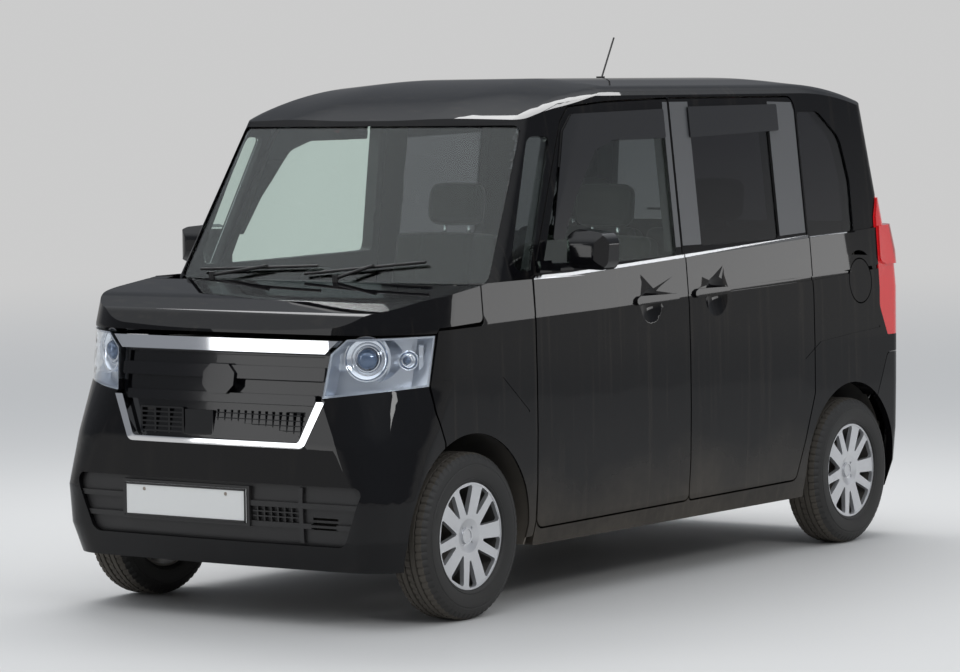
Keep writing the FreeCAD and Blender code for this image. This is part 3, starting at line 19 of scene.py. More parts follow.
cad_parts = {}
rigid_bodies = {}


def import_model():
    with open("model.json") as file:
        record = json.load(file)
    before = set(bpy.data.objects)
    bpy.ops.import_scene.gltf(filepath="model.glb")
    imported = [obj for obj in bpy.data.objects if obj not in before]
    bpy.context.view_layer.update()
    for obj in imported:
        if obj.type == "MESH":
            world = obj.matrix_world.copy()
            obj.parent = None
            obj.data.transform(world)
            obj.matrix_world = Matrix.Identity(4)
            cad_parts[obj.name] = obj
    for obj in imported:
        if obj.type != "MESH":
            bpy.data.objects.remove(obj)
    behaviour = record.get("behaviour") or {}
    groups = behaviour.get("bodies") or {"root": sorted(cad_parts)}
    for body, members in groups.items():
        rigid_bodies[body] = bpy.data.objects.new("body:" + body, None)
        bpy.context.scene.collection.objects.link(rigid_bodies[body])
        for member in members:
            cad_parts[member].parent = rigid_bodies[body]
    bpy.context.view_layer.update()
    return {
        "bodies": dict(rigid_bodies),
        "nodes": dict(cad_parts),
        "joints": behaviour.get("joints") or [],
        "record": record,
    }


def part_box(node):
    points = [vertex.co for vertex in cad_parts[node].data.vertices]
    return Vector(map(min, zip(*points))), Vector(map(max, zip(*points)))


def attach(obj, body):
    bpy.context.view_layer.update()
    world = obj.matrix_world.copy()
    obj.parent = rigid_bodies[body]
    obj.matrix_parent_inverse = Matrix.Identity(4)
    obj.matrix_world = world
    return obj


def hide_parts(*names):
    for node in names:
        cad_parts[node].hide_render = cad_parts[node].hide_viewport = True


LOG = logging.getLogger("car_scene")
Object, Socket, Tree = bpy.types.Object, bpy.types.NodeSocket, bpy.types.NodeTree
Pair = tuple[float, float]
Colour = tuple[float, float, float]
Point = tuple[float, float, float]
Form = tuple[list[Point], list[Sequence[int]]]


class Side(Enum):
    """The two sides of the car, with the sign of their Y."""

    LEFT = 1
    RIGHT = -1

    def place(self, point: Point) -> Vector:
        """Give a point of the left side as it lies on this one."""
        return Vector((point[0], point[1] * self.value, point[2]))


WHEELS = (
    ("front_left", Side.LEFT), ("front_right", Side.RIGHT), ("rear_left", Side.LEFT), ("rear_right", Side.RIGHT),
)


# Nodes, and the shader groups that more than one finish uses.


class Nodes:
    """Short calls for the nodes of a tree."""

    def __init__(self, tree: Tree) -> None:
        """Take the tree that the nodes go into."""
        self.tree = tree

    def feed(self, target: Socket, value: object) -> None:
        """Link a socket to an input, or set the input.

        Args:
            target: the input.
            value: a socket or a plain value.
        """
        if isinstance(value, Socket):
            self.tree.links.new(value, target)
        else:
            target.default_value = value

    def node(self, kind: str, inputs: dict[str | int, object] | None = None, **settings: object) -> bpy.types.Node:
        """Add a node.

        Args:
            kind: the node's type.
            inputs: a socket or a plain value for inputs, by their names or numbers.
            settings: values of the node's properties, which are set first.

        Returns:
            The node.
        """
        node = self.tree.nodes.new(kind)
        for label, value in settings.items():
            setattr(node, label, value)
        for label, value in (inputs or {}).items():
            self.feed(node.inputs[label], value)
        return node

    def place(self) -> Socket:
        """Add the object's own coordinates."""
        return self.node("ShaderNodeTexCoord").outputs["Object"]

    def math(self, operation: str, first: object, second: object = 0.0) -> Socket:
        """Add a sum of two sockets or numbers.

        Args:
            operation: the Math node's operation.
            first: a socket or a number.
            second: a socket or a number.

        Returns:
            The sum's output socket.
        """
        return self.node("ShaderNodeMath", {0: first, 1: second}, operation=operation).outputs[0]

    def clamped(self, value: Socket) -> Socket:
        """Keep a value between 0 and 1."""
        return self.node("ShaderNodeClamp", {"Value": value}).outputs[0]

    def noise(self, scale: object, detail: float, roughness: float = 0.5,
              stretch: Point = (1.0, 1.0, 1.0)) -> Socket:
        """Add noise over the object's own coordinates.

        Args:
            scale: a socket or a number.
            detail: the number of finer layers.
            roughness: the weight of the finer layers.
            stretch: how much finer the noise is along each axis.

        Returns:
            The noise's value socket.
        """
        mapping = self.node("ShaderNodeMapping", {"Vector": self.place(), "Scale": stretch})
        inputs = {"Vector": mapping.outputs["Vector"], "Scale": scale, "Detail": detail, "Roughness": roughness}
        return self.node("ShaderNodeTexNoise", inputs).outputs["Fac"]


class Group(Nodes):
    """A shader group under construction, with number sockets and one output."""

    def __init__(self, name: str, inputs: dict[str, float], output: str) -> None:
        """Make the group with its sockets.

        Args:
            name: the group's name.
            inputs: names and standard values of the sockets that go in.
            output: the name of the socket that comes out.
        """
        super().__init__(bpy.data.node_groups.new(name, "ShaderNodeTree"))
        for label, value in inputs.items():
            socket = self.tree.interface.new_socket(label, in_out="INPUT", socket_type="NodeSocketFloat")
            socket.default_value = value
        self.tree.interface.new_socket(output, in_out="OUTPUT", socket_type="NodeSocketFloat")
        self.inward = self.node("NodeGroupInput").outputs

    def give(self, value: Socket) -> Tree:
        """Lead a value out of the group, and give the group."""
        self.node("NodeGroupOutput", {0: value})
        return self.tree


# The film's patches and how far they lift its edge, its fine grit, and the streaks that drips leave.
PATCH_SCALE, PATCH_LIFT = 2.6, 0.45
GRIT_SCALE, GRIT_RANGE, GRIT_LEAST = 34.0, 0.5, 0.72
STREAK_STRETCH: Point = (34.0, 10.0, 1.3)
STREAK_START, STREAK_STEEPNESS = 0.56, 7.0
# The areas with specks of dust, and the share of the noise that has none.
SPECK_AREAS, SPECK_START = 7.0, 0.52
# Half a turn, from one thread of the weave to the next.
THREAD_TURN = 3.1416


def road_film() -> Tree:
    """Make the film of road dust, thick near the ground, patchy above it and streaked by drips.

    Returns:
        A group with the inputs Height, Fade, Amount, Haze and Drips and the output Mask.
    """
    group = Group("road film", {"Height": 0.3, "Fade": 0.3, "Amount": 0.6, "Haze": 0.05, "Drips": 0.0}, "Mask")
    split = group.node("ShaderNodeSeparateXYZ", {0: group.place()})
    patch = group.noise(PATCH_SCALE, 4.0)
    lifted = group.math("MULTIPLY", group.math("SUBTRACT", patch, 0.5), PATCH_LIFT)
    height = group.math("ADD", group.inward["Height"], lifted)
    depth = group.math("DIVIDE", group.math("SUBTRACT", height, split.outputs["Z"]), group.inward["Fade"])
    near = group.math("MULTIPLY", group.clamped(depth), group.inward["Amount"])
    grit = group.math("ADD", group.math("MULTIPLY", group.noise(GRIT_SCALE, 3.0), GRIT_RANGE), GRIT_LEAST)
    runs = group.math("SUBTRACT", group.noise(1.0, 3.0, 0.6, STREAK_STRETCH), STREAK_START)
    narrow = group.clamped(group.math("MULTIPLY", runs, STREAK_STEEPNESS))
    drips = group.math("MULTIPLY", narrow, group.inward["Drips"])
    haze = group.math("MULTIPLY", group.inward["Haze"], patch)
    film = group.math("ADD", group.math("MULTIPLY", near, grit), haze)
    return group.give(group.clamped(group.math("ADD", film, drips)))


def dust_specks() -> Tree:
    """Make scattered specks of dust.

    Returns:
        A group with the inputs Scale and Share and the output Mask.
    """
    group = Group("dust specks", {"Scale": 240.0, "Share": 0.1}, "Mask")
    inputs = {"Vector": group.place(), "Scale": group.inward["Scale"]}
    cells = group.node("ShaderNodeTexVoronoi", inputs, feature="F1")
    dot = group.math("LESS_THAN", cells.outputs["Distance"], group.inward["Share"])
    some = group.math("GREATER_THAN", group.noise(SPECK_AREAS, 2.0), SPECK_START)
    return group.give(group.math("MULTIPLY", dot, some))


def fine_grain() -> Tree:
    """Make the fine grain of moulded plastic and rubber.

    Returns:
        A group with the input Scale and the output Height.
    """
    group = Group("fine grain", {"Scale": 900.0}, "Height")
    return group.give(group.noise(group.inward["Scale"], 2.0, 0.6))


def cloth_weave() -> Tree:
    """Make the crossing threads of seat cloth.

    Returns:
        A group with the input Scale and the output Height.
    """
    group = Group("cloth weave", {"Scale": 420.0}, "Height")
    split = group.node("ShaderNodeSeparateXYZ", {0: group.place()})
    waves = []
    for axis in ("X", "Y"):
        along = group.math("ADD", split.outputs[axis], split.outputs["Z"])
        phase = group.math("MULTIPLY", along, group.math("MULTIPLY", group.inward["Scale"], THREAD_TURN))
        waves.append(group.math("ABSOLUTE", group.math("SINE", phase)))
    return group.give(group.math("MAXIMUM", *waves))


class Effects:
    """The shared shader groups, each made once."""

    makers: dict[str, Callable[[], Tree]] = {
        "film": road_film, "specks": dust_specks, "grain": fine_grain, "weave": cloth_weave,
    }
    made: dict[str, Tree] = {}

    @classmethod
    def add(cls, nodes: Nodes, name: str, inputs: dict[str, float]) -> Socket:
        """Add a shared group to a tree.

        Args:
            nodes: the tree's nodes.
            name: the group's short name.
            inputs: values for the group's inputs.

        Returns:
            The group's output socket.
        """
        if name not in cls.made:
            cls.made[name] = cls.makers[name]()
        return nodes.node("ShaderNodeGroup", inputs, node_tree=cls.made[name]).outputs[0]


# Finishes.

DUST: Colour = (0.30, 0.26, 0.21)
DUST_ROUGHNESS = 0.75
SPECK_STRENGTH = 0.35
RELIEF = 0.0006


@dataclass(frozen=True)
class Film:
    """How road dust lies on a finish: its height, fade, strength near the ground, haze above and drips."""

    height: float = 0.25
    fade: float = 0.35
    amount: float = 0.5
    haze: float = 0.03
    drips: float = 0.0


@dataclass(frozen=True)
class Finish:
    """A solid surface with its colour, gloss and the effects that lie on it."""

    name: str
    colour: Colour
    roughness: float = 0.5
    metallic: float = 0.0
    coat: float = 0.0
    coat_roughness: float = 0.03
    specular: float = 0.5
    sheen: float = 0.0
    film: Film | None = None
    specks: float = 0.0
    grain: float = 0.0
    grain_scale: float = 900.0
    weave: float = 0.0
    transmission: float = 0.0
    index: float = 1.5
    glow: float = 0.0

    def material(self) -> bpy.types.Material:
        """Give the finish's material.

        Returns:
            The material, made on the first call.
        """
        known = bpy.data.materials.get(self.name)
        if known is not None and known.get("finish") == self.name:
            return known
        material = bpy.data.materials.new(self.name)
        material["finish"] = self.name
        material.use_nodes = True
        nodes = Nodes(material.node_tree)
        shader = material.node_tree.nodes["Principled BSDF"]
        values = {
            "Base Color": (*self.colour, 1.0), "Roughness": self.roughness, "Metallic": self.metallic,
            "IOR": self.index, "Specular IOR Level": self.specular, "Coat Weight": self.coat,
            "Coat Roughness": self.coat_roughness, "Sheen Weight": self.sheen,
            "Transmission Weight": self.transmission,
        }
        if self.glow > 0:
            values |= {"Emission Color": (*self.colour, 1.0), "Emission Strength": self.glow}
        for label, value in values.items():
            nodes.feed(shader.inputs[label], value)
        if self.film is not None:
            self._dirty(nodes, shader)
        self._bumpy(nodes, shader)
        return material

    def _dirty(self, nodes: Nodes, shader: bpy.types.Node) -> None:
        """Mix a film of dust, and specks if it has any, into the colour, the roughness and the coat.

        Args:
            nodes: the material's nodes.
            shader: its Principled BSDF.
        """
        film = {label.capitalize(): value for label, value in asdict(self.film).items()}
        mask = Effects.add(nodes, "film", film)
        if self.specks > 0:
            specks = Effects.add(nodes, "specks", {"Share": self.specks})
            mask = nodes.math("MAXIMUM", mask, nodes.math("MULTIPLY", specks, SPECK_STRENGTH))
        colours = {"A": (*self.colour, 1.0), "B": (*DUST, 1.0), "Factor": mask}
        blend = nodes.node("ShaderNodeMix", colours, data_type="RGBA")
        nodes.feed(shader.inputs["Base Color"], blend.outputs["Result"])
        ends = {"Roughness": (self.roughness, DUST_ROUGHNESS)}
        if self.coat > 0:
            ends["Coat Weight"] = (self.coat, 0.0)
        for label, (clean, dusty) in ends.items():
            mix = nodes.node("ShaderNodeMapRange", {"To Min": clean, "To Max": dusty, "Value": mask})
            nodes.feed(shader.inputs[label], mix.outputs["Result"])

    def _bumpy(self, nodes: Nodes, shader: bpy.types.Node) -> None:
        """Add the small relief of grain or weave to the normal.

        Args:
            nodes: the material's nodes.
            shader: its Principled BSDF.
        """
        for effect, strength in (("grain", self.grain), ("weave", self.weave)):
            if strength > 0:
                height = Effects.add(nodes, effect, {"Scale": self.grain_scale})
                bump = nodes.node("ShaderNodeBump", {"Strength": strength, "Distance": RELIEF, "Height": height})
                nodes.feed(shader.inputs["Normal"], bump.outputs["Normal"])


BLACK: Colour = (0.0022, 0.0023, 0.0032)
PAINT = Finish("black paint", BLACK, 0.25, specular=0.0, coat=0.5, coat_roughness=0.012,
               film=Film(0.48, 0.45, 0.26, 0.008, 0.030), specks=0.07)
BUMPER_PAINT = Finish("bumper paint", BLACK, 0.25, specular=0.0, coat=0.6, coat_roughness=0.015,
                      film=Film(0.16, 0.3, 0.06, 0.006, 0.01), specks=0.04)
GLOSS_BLACK = Finish("gloss black trim", (0.003, 0.003, 0.004), 0.10, specular=0.25, coat=0.3)
CHROME = Finish("chrome", (0.80, 0.81, 0.83), 0.05, metallic=1.0)
BRIGHT_STRIP = Finish("bright strip", (0.62, 0.63, 0.65), 0.18, metallic=1.0)
DARK_PLASTIC = Finish("dark plastic", (0.010, 0.010, 0.011), 0.46, grain=0.25,
                      film=Film(0.2, 0.3, 0.12, 0.03))
SATIN_STRIP = Finish("satin pillar strip", (0.070, 0.074, 0.080), 0.34, specular=0.6,
                     film=Film(0.0, 0.3, 0.0, 0.03))
SMOKED = Finish("smoked visor", (0.004, 0.004, 0.005), 0.05, specular=0.6, coat=0.5)
CHASSIS = Finish("chassis black", (0.012, 0.012, 0.012), 0.6, film=Film(0.6, 0.5, 0.35, 0.1))
CAST_METAL = Finish("cast metal", (0.16, 0.155, 0.15), 0.5, metallic=0.8, film=Film(0.5, 0.4, 0.3, 0.15))
STEEL = Finish("exhaust steel", (0.35, 0.31, 0.27), 0.42, metallic=1.0, film=Film(0.5, 0.4, 0.4, 0.2))
CLEAR_GLASS = Finish("clear glass", (0.80, 0.90, 0.85), 0.0, transmission=1.0, index=1.45)
SCREEN_GLASS = Finish("windscreen glass", (0.84, 0.92, 0.89), 0.0, transmission=1.0, index=1.45)
PRIVACY_GLASS = Finish("privacy glass", (0.10, 0.10, 0.11), 0.0, transmission=1.0, index=1.45)
LENS = Finish("lamp lens", (0.95, 0.97, 0.99), 0.0, transmission=1.0, index=1.3)
LAMP_BRIGHT = Finish("lamp reflector", (0.86, 0.89, 0.94), 0.10, metallic=1.0)
LAMP_DIM = Finish("lamp surround", (0.55, 0.58, 0.63), 0.30, metallic=1.0)
RED_LENS = Finish("red lamp lens", (0.60, 0.012, 0.016), 0.09, coat=0.5, glow=0.12)
RED_DEEP = Finish("deep red lamp lens", (0.34, 0.005, 0.007), 0.12, coat=0.5, glow=0.08)
PROJECTOR = Finish("projector lens", (0.10, 0.16, 0.27), 0.03, specular=0.9, coat=1.0, metallic=0.35)
SILVER = Finish("wheel silver", (0.60, 0.61, 0.63), 0.30, metallic=0.75, coat=0.4,
                film=Film(0.3, 0.6, 0.06, 0.02))
# The rim behind the spokes: a darker copy of the wheel silver as painted shade, with road dust on it.
BARREL_SILVER_PAINTED_SHADE = Finish("wheel barrel", (0.10, 0.10, 0.10), 0.5, metallic=0.6, film=Film(0.4, 0.5, 0.3, 0.15))
RUBBER = Finish("tyre rubber", (0.011, 0.011, 0.011), 0.60, grain=0.3, film=Film(0.4, 0.9, 0.05, 0.01))
# The tread is lighter than the sidewall: partly road dust and wear, partly painted sunlight.
TREAD_WORN_AND_SUNLIT = Finish("tyre tread", (0.050, 0.045, 0.038), 0.85, grain=0.35, film=Film(0.6, 0.9, 0.15, 0.06))
CABIN_PLASTIC = Finish("cabin plastic", (0.020, 0.019, 0.018), 0.55, grain=0.4)
CABIN_PALE = Finish("pale cabin trim", (0.34, 0.32, 0.28), 0.7, grain=0.3)
SEAT_CLOTH = Finish("seat cloth", (0.050, 0.046, 0.042), 0.9, sheen=0.25, weave=0.5, grain_scale=420.0)
PLATE = Finish("plate white", (0.78, 0.79, 0.78), 0.35, film=Film(0.3, 0.4, 0.06, 0.02))
MIRROR_GLASS = Finish("mirror glass", (0.80, 0.82, 0.84), 0.02, metallic=1.0)


# The solids that show each finish.
FINISH_SOLIDS: dict[Finish, str] = {
    PAINT: "side_frames roof fenders sliding_doors front_door_left front_door_right bonnet fuel_lid tailgate",
    BUMPER_PAINT: "front_bumper rear_bumper",
    GLOSS_BLACK: "grille mirror_left mirror_right",
    DARK_PLASTIC: "lower_grille cowl wipers rear_wiper antenna fuel_tank",
    CHROME: "grille_trim",
    PLATE: "front_plate",
    LAMP_DIM: "headlamps",
    LENS: "headlamp_lenses",
    RED_LENS: "tail_lamps",
    SCREEN_GLASS: "windscreen",
    CLEAR_GLASS: "pillar_glass door_glass_left door_glass_right",
    PRIVACY_GLASS: "quarter_glass sliding_door_glass tailgate_glass",
    CABIN_PLASTIC: "dashboard steering_wheel",
    SEAT_CLOTH: "front_seats rear_seats",
    CHASSIS: "underbody front_suspension rear_axle",
    CAST_METAL: "engine knuckle_left knuckle_right",
    STEEL: "exhaust",
    RUBBER: " ".join(f"tyre_{corner}" for corner, _side in WHEELS),
    SILVER: " ".join(f"rim_{corner}" for corner, _side in WHEELS),
}
NODE_FINISH = {node: finish for finish, nodes in FINISH_SOLIDS.items() for node in nodes.split()}


# Faces of the solids that show a finish of their own.

Range = Pair
ANY: Range = (-math.inf, math.inf)
# The plane of the side windows: its half width at its foot, how far it leans in over its height, and the
# line below the windows, with the place along the car where its height is given.
SKIN_FOOT, SKIN_HIGH, SKIN_HALF_WIDTH, SKIN_LEAN = 1.08, 0.78, 0.712, 0.083
LINE_FRONT, LINE_HEIGHT, LINE_SLOPE = 0.62, 1.113, 0.04237
BELT = 1.1
# Half the track, and how far out from there a rim's spokes begin.
HALF_TRACK, SPOKES_OUT = 0.6525, 0.024


def window_skin(height: float) -> float:
    """Give the half width of the flank beside the windows at a height."""
    return SKIN_HALF_WIDTH - SKIN_LEAN * (height - SKIN_FOOT) / SKIN_HIGH


def window_line(along: float) -> float:
    """Give the height of the line below the side windows at a place along the car."""
    return LINE_HEIGHT + (LINE_FRONT - along) * LINE_SLOPE


def above(limit: float) -> Range:
    """Give the range above a limit."""
    return limit, math.inf


def below(limit: float) -> Range:
    """Give the range below a limit."""
    return -math.inf, limit


@dataclass(frozen=True)
class FaceRule:
    """A finish for the faces of a solid whose middles and normals lie within ranges.

    The middle's ranges are along the car, out to its side, up, out from the plane of the side windows and
    up from the line below them.
    """

    finish: Finish
    along: Range = ANY
    out: Range = ANY
    up: Range = ANY
    proud: Range = ANY
    over: Range = ANY
    normal_x: Range = ANY
    normal_y: Range = ANY
    normal_z: Range = ANY

    def fits(self, middle: Vector, normal: Vector) -> bool:
        """Say whether a face lies within every range.

        Args:
            middle: the face's middle.
            normal: its normal.

        Returns:
            Whether it does.
        """
        out = abs(middle.y)
        values = (middle.x, out, middle.z, out - window_skin(middle.z), middle.z - window_line(middle.x), *normal)
        ranges = (self.along, self.out, self.up, self.proud, self.over,
                  self.normal_x, self.normal_y, self.normal_z)
        return all(low < value < high for value, (low, high) in zip(values, ranges))


def cabin_wall(finish: Finish, along: Range = ANY) -> list[FaceRule]:
    """Give the rules for faces of the sides that look into the cabin, below the windows and beside them."""
    return [FaceRule(finish, along, out=below(0.668), up=below(BELT)),
            FaceRule(finish, along, up=above(BELT), proud=below(-0.040))]


# The doors' inside, the reveals of their windows, the visors, the dark strips and the bright strip.
DOOR_RULES = cabin_wall(CABIN_PLASTIC) + [
    FaceRule(DARK_PLASTIC, up=above(1.115), proud=below(-0.0005), normal_y=(-0.5, 0.5)),
    FaceRule(SMOKED, up=above(1.23), proud=above(0.0022)),
    FaceRule(SATIN_STRIP, along=below(0.0), up=above(1.17), proud=above(0.0006)),
    FaceRule(BRIGHT_STRIP, along=below(0.84), proud=above(0.0012), over=(0.0, 0.0125)),
]
# The edges of the panes, which their seals cover, the mirrors' glass, and the rims behind their spokes, which get
# a darker silver as painted shade.
SEAL_RULES = [FaceRule(DARK_PLASTIC, normal_y=(-0.6, 0.6))]
SCREEN_RULES = [FaceRule(DARK_PLASTIC, normal_x=(-0.6, 0.6))]
MIRROR_RULES = [FaceRule(MIRROR_GLASS, along=below(0.652), out=above(0.76), normal_x=below(-0.9))]
RIM_RULES = [FaceRule(BARREL_SILVER_PAINTED_SHADE, out=below(HALF_TRACK + SPOKES_OUT))]
FACE_RULES: dict[str, list[FaceRule]] = {
    "front_door_left": DOOR_RULES, "front_door_right": DOOR_RULES, "sliding_doors": DOOR_RULES,
    "door_glass_left": SEAL_RULES, "door_glass_right": SEAL_RULES, "sliding_door_glass": SEAL_RULES,
    "quarter_glass": SEAL_RULES, "windscreen": SCREEN_RULES, "tailgate_glass": SCREEN_RULES,
    "mirror_left": MIRROR_RULES, "mirror_right": MIRROR_RULES,
    "side_frames": cabin_wall(CABIN_PALE, along=(-1.45, 0.50)),
    "tailgate": [FaceRule(CABIN_PLASTIC, along=above(-1.66), normal_x=above(0.7))],
    "roof": [FaceRule(CABIN_PALE, out=below(0.60), normal_z=below(-0.5))],
    "tail_lamps": [FaceRule(RED_DEEP, along=below(-1.60), up=(1.09, 1.28))],
    **{f"rim_{corner}": RIM_RULES for corner, _side in WHEELS},
}


# The angle, in degrees, above which an edge stays sharp.
SHARP_ANGLE = 20.0


def soft_edges() -> Tree:
    """Give the modifier group that shades curves soft and keeps real edges sharp.

    Returns:
        The geometry node group, made on the first call.
    """
    known = bpy.data.node_groups.get("soft edges")
    if known is not None:
        return known
    tree = bpy.data.node_groups.new("soft edges", "GeometryNodeTree")
    for way in ("INPUT", "OUTPUT"):
        tree.interface.new_socket("Geometry", in_out=way, socket_type="NodeSocketGeometry")
    nodes = Nodes(tree)
    inward = nodes.node("NodeGroupInput")
    bend = nodes.node("GeometryNodeInputMeshEdgeAngle")
    inputs = {"A": bend.outputs["Unsigned Angle"], "B": math.radians(SHARP_ANGLE)}
    test = nodes.node("FunctionNodeCompare", inputs, data_type="FLOAT", operation="LESS_EQUAL")
    faces = nodes.node("GeometryNodeSetShadeSmooth", {"Geometry": inward.outputs[0]}, domain="FACE")
    inputs = {"Geometry": faces.outputs["Geometry"], "Shade Smooth": test.outputs["Result"]}
    edges = nodes.node("GeometryNodeSetShadeSmooth", inputs, domain="EDGE")
    nodes.node("NodeGroupOutput", {0: edges.outputs["Geometry"]})
    return tree


@dataclass(frozen=True)
class Solids:
    """The solids of the frame, with their finishes."""

    weld_distance: float = 0.00002
    flat_weight: int = 90

    def dress(self, nodes: dict[str, Object]) -> None:
        """Give each solid its finishes and soft shading over its curves.

        Args:
            nodes: the solids by their names.
        """
        for name, obj in nodes.items():
            self.paint(obj, NODE_FINISH.get(name, DARK_PLASTIC), FACE_RULES.get(name, []))
            self.smooth(obj)
            LOG.info("solid %s", name)

    def paint(self, obj: Object, finish: Finish, rules: list[FaceRule]) -> None:
        """Put a finish on a solid, and other finishes on some of its faces.

        Args:
            obj: the solid.
            finish: its main finish.
            rules: the finishes of some faces, the first rule that fits counts.
        """
        finishes = list(dict.fromkeys([finish] + [rule.finish for rule in rules]))
        mesh = obj.data
        mesh.materials.clear()
        for one in finishes:
            mesh.materials.append(one.material())
        for face in mesh.polygons if rules else ():
            own = (rule.finish for rule in rules if rule.fits(face.center, face.normal))
            face.material_index = finishes.index(next(own, finish))

    def smooth(self, obj: Object) -> None:
        """Shade a solid's curves soft.

        Args:
            obj: the solid.
        """
        custom = obj.data.attributes.get("custom_normal")
        if custom is not None:
            obj.data.attributes.remove(custom)
        weld = obj.modifiers.new("weld", "WELD")
        weld.merge_threshold = self.weld_distance
        soft = obj.modifiers.new("soft edges", "NODES")
        soft.node_group = soft_edges()
        level = obj.modifiers.new("level faces", "WEIGHTED_NORMAL")
        level.keep_sharp = True
        level.weight = self.flat_weight


# Meshes.


def new_piece(name: str, verts: Sequence[Point], faces: Sequence[Sequence[int]],
              finishes: Sequence[Finish], soft: bool = True) -> Object:
    """Make a mesh piece.

    Args:
        name: the piece's name.
        verts: its points.
        faces: its faces, as point numbers.
        finishes: its finishes, the first is on every face to begin with.
        soft: whether its faces are shaded soft.

    Returns:
        The piece.
    """
    mesh = bpy.data.meshes.new(name)
    mesh.from_pydata([tuple(v) for v in verts], [], [tuple(f) for f in faces])
    for finish in finishes:
        mesh.materials.append(finish.material())
    bm = bmesh.new()
    bm.from_mesh(mesh)
    bmesh.ops.recalc_face_normals(bm, faces=bm.faces)
    bm.to_mesh(mesh)
    bm.free()
    mesh.polygons.foreach_set("use_smooth", [soft] * len(mesh.polygons))
    return put(name, mesh)


def put(name: str, data: bpy.types.ID) -> Object:
    """Put an object with some data into the scene.

    Args:
        name: the object's name.
        data: its mesh, light or camera.

    Returns:
        The object.
    """
    made = bpy.data.objects.new(name, data)
    bpy.context.scene.collection.objects.link(made)
    return made


def grid_faces(rows: int, columns: int, close_rows: bool = False,
               close_columns: bool = False) -> list[tuple[int, int, int, int]]:
    """Give the faces of a grid of points, row by row.

    Args:
        rows: the number of rows.
        columns: the number of points in a row.
        close_rows: whether the last row joins the first.
        close_columns: whether a row's last point joins its first.

    Returns:
        The faces.
    """
    faces = []
    for row in range(rows if close_rows else rows - 1):
        for column in range(columns if close_columns else columns - 1):
            after = (row + 1) % rows
            beside = (column + 1) % columns
            faces.append((row * columns + column, row * columns + beside,
                          after * columns + beside, after * columns + column))
    return faces


def join_parts(parts: Sequence[Form]) -> Form:
    """Join several sets of points and faces into one.

    Args:
        parts: the sets.

    Returns:
        All the points, and the faces with their numbers moved on.
    """
    verts: list[Point] = []
    faces: list[Sequence[int]] = []
    for more, their in parts:
        start = len(verts)
        verts.extend(more)
        faces.extend(tuple(index + start for index in face) for face in their)
    return verts, faces


# The places in a rounded corner, as angles from the flat face.
CORNER_ANGLES = (12.0, 24.0, 35.0, 45.0)


def rounded_steps(half: float, radius: float, step: float) -> list[float]:
    """Give the places along one side of a rounded block, closer together in its corners.

    Args:
        half: half the side's length.
        radius: the rounding of the block's edges.
        step: the distance between places on the flat part.

    Returns:
        The places, from one end to the other.
    """
    inner = half - radius
    corner = [inner + radius * math.tan(math.radians(angle)) for angle in CORNER_ANGLES]
    count = max(2, math.ceil(2 * inner / step))
    flat = [-inner + 2 * inner * i / count for i in range(count + 1)]
    return [-value for value in reversed(corner)] + flat + corner


def rounded_block(size: Point, radius: float, step: float) -> tuple[list[Vector], list[Sequence[int]]]:
    """Make a block with rounded edges as an even grid of quads.

    Args:
        size: the block's three sizes.
        radius: the rounding of its edges.
        step: the size of a quad.

    Returns:
        The points, about the block's middle, and the faces.
    """
    half = [value / 2 for value in size]
    steps = [rounded_steps(value, radius, step) for value in half]
    places: dict[tuple[int, int, int], int] = {}
    verts: list[Vector] = []
    faces: list[Sequence[int]] = []

    def point(key: tuple[int, int, int]) -> int:
        """Give the number of the point at a place of the grid.

        Args:
            key: the place, as a number along each axis.

        Returns:
            The point's number.
        """
        if key not in places:
            raw = [steps[axis][key[axis]] for axis in range(3)]
            core = [max(-(half[axis] - radius), min(half[axis] - radius, raw[axis])) for axis in range(3)]
            out = Vector([raw[axis] - core[axis] for axis in range(3)])
            places[key] = len(verts)
            verts.append(Vector(core) + out.normalized() * radius)
        return places[key]

    for axis in range(3):
        first, second = (axis + 1) % 3, (axis + 2) % 3
        for end in (0, len(steps[axis]) - 1):
            for i in range(len(steps[first]) - 1):
                for j in range(len(steps[second]) - 1):
                    corners = []
                    for di, dj in ((0, 0), (1, 0), (1, 1), (0, 1)):
                        key = [0, 0, 0]
                        key[axis], key[first], key[second] = end, i + di, j + dj
                        corners.append(point((key[0], key[1], key[2])))
                    faces.append(corners)
    return verts, faces


def ring_about(middle: Vector, across: Vector, upward: Vector, profile: Sequence[Pair],
               turns: int) -> Form:
    """Turn a closed profile about an axis.

    Args:
        middle: the ring's middle.
        across: a unit vector in the ring's plane.
        upward: the other unit vector in the ring's plane.
        profile: distances from the axis and places along it.
        turns: the number of steps round the ring.

    Returns:
        The points and the faces.
    """
    axis = across.cross(upward)
    verts = []
    for turn in range(turns):
        angle = 2 * math.pi * turn / turns
        out = across * math.cos(angle) + upward * math.sin(angle)
        verts.extend(tuple(middle + out * radius + axis * along) for radius, along in profile)
    return verts, grid_faces(turns, len(profile), True, True)


# Seats.


@dataclass(frozen=True)
class Channel:
    """A sewn channel across a pad's face, along one of its two directions."""

    along_length: bool
    place: float
    low: float = -1.0
    high: float = 1.0
    depth: float = 0.008
    width: float = 0.006


def sewn(side: float, *across: float) -> tuple[Channel, ...]:
    """Give a channel along each side of a pad, and channels across between the two."""
    along = (Channel(True, -side), Channel(True, side))
    return along + tuple(Channel(False, place, -side, side) for place in across)


# A pad's seam: how near the sides it lies, its height, its spread and its depth. Then how far the sides
# bulge less above and below, and where the bolsters start and over what width they rise.
SEAM_EDGE, SEAM_HEIGHT, SEAM_SPREAD, SEAM_DEPTH = 0.93, 0.35, 0.09, 0.005
WAIST = 0.4
BOLSTER_START, BOLSTER_RISE = 0.58, 0.24


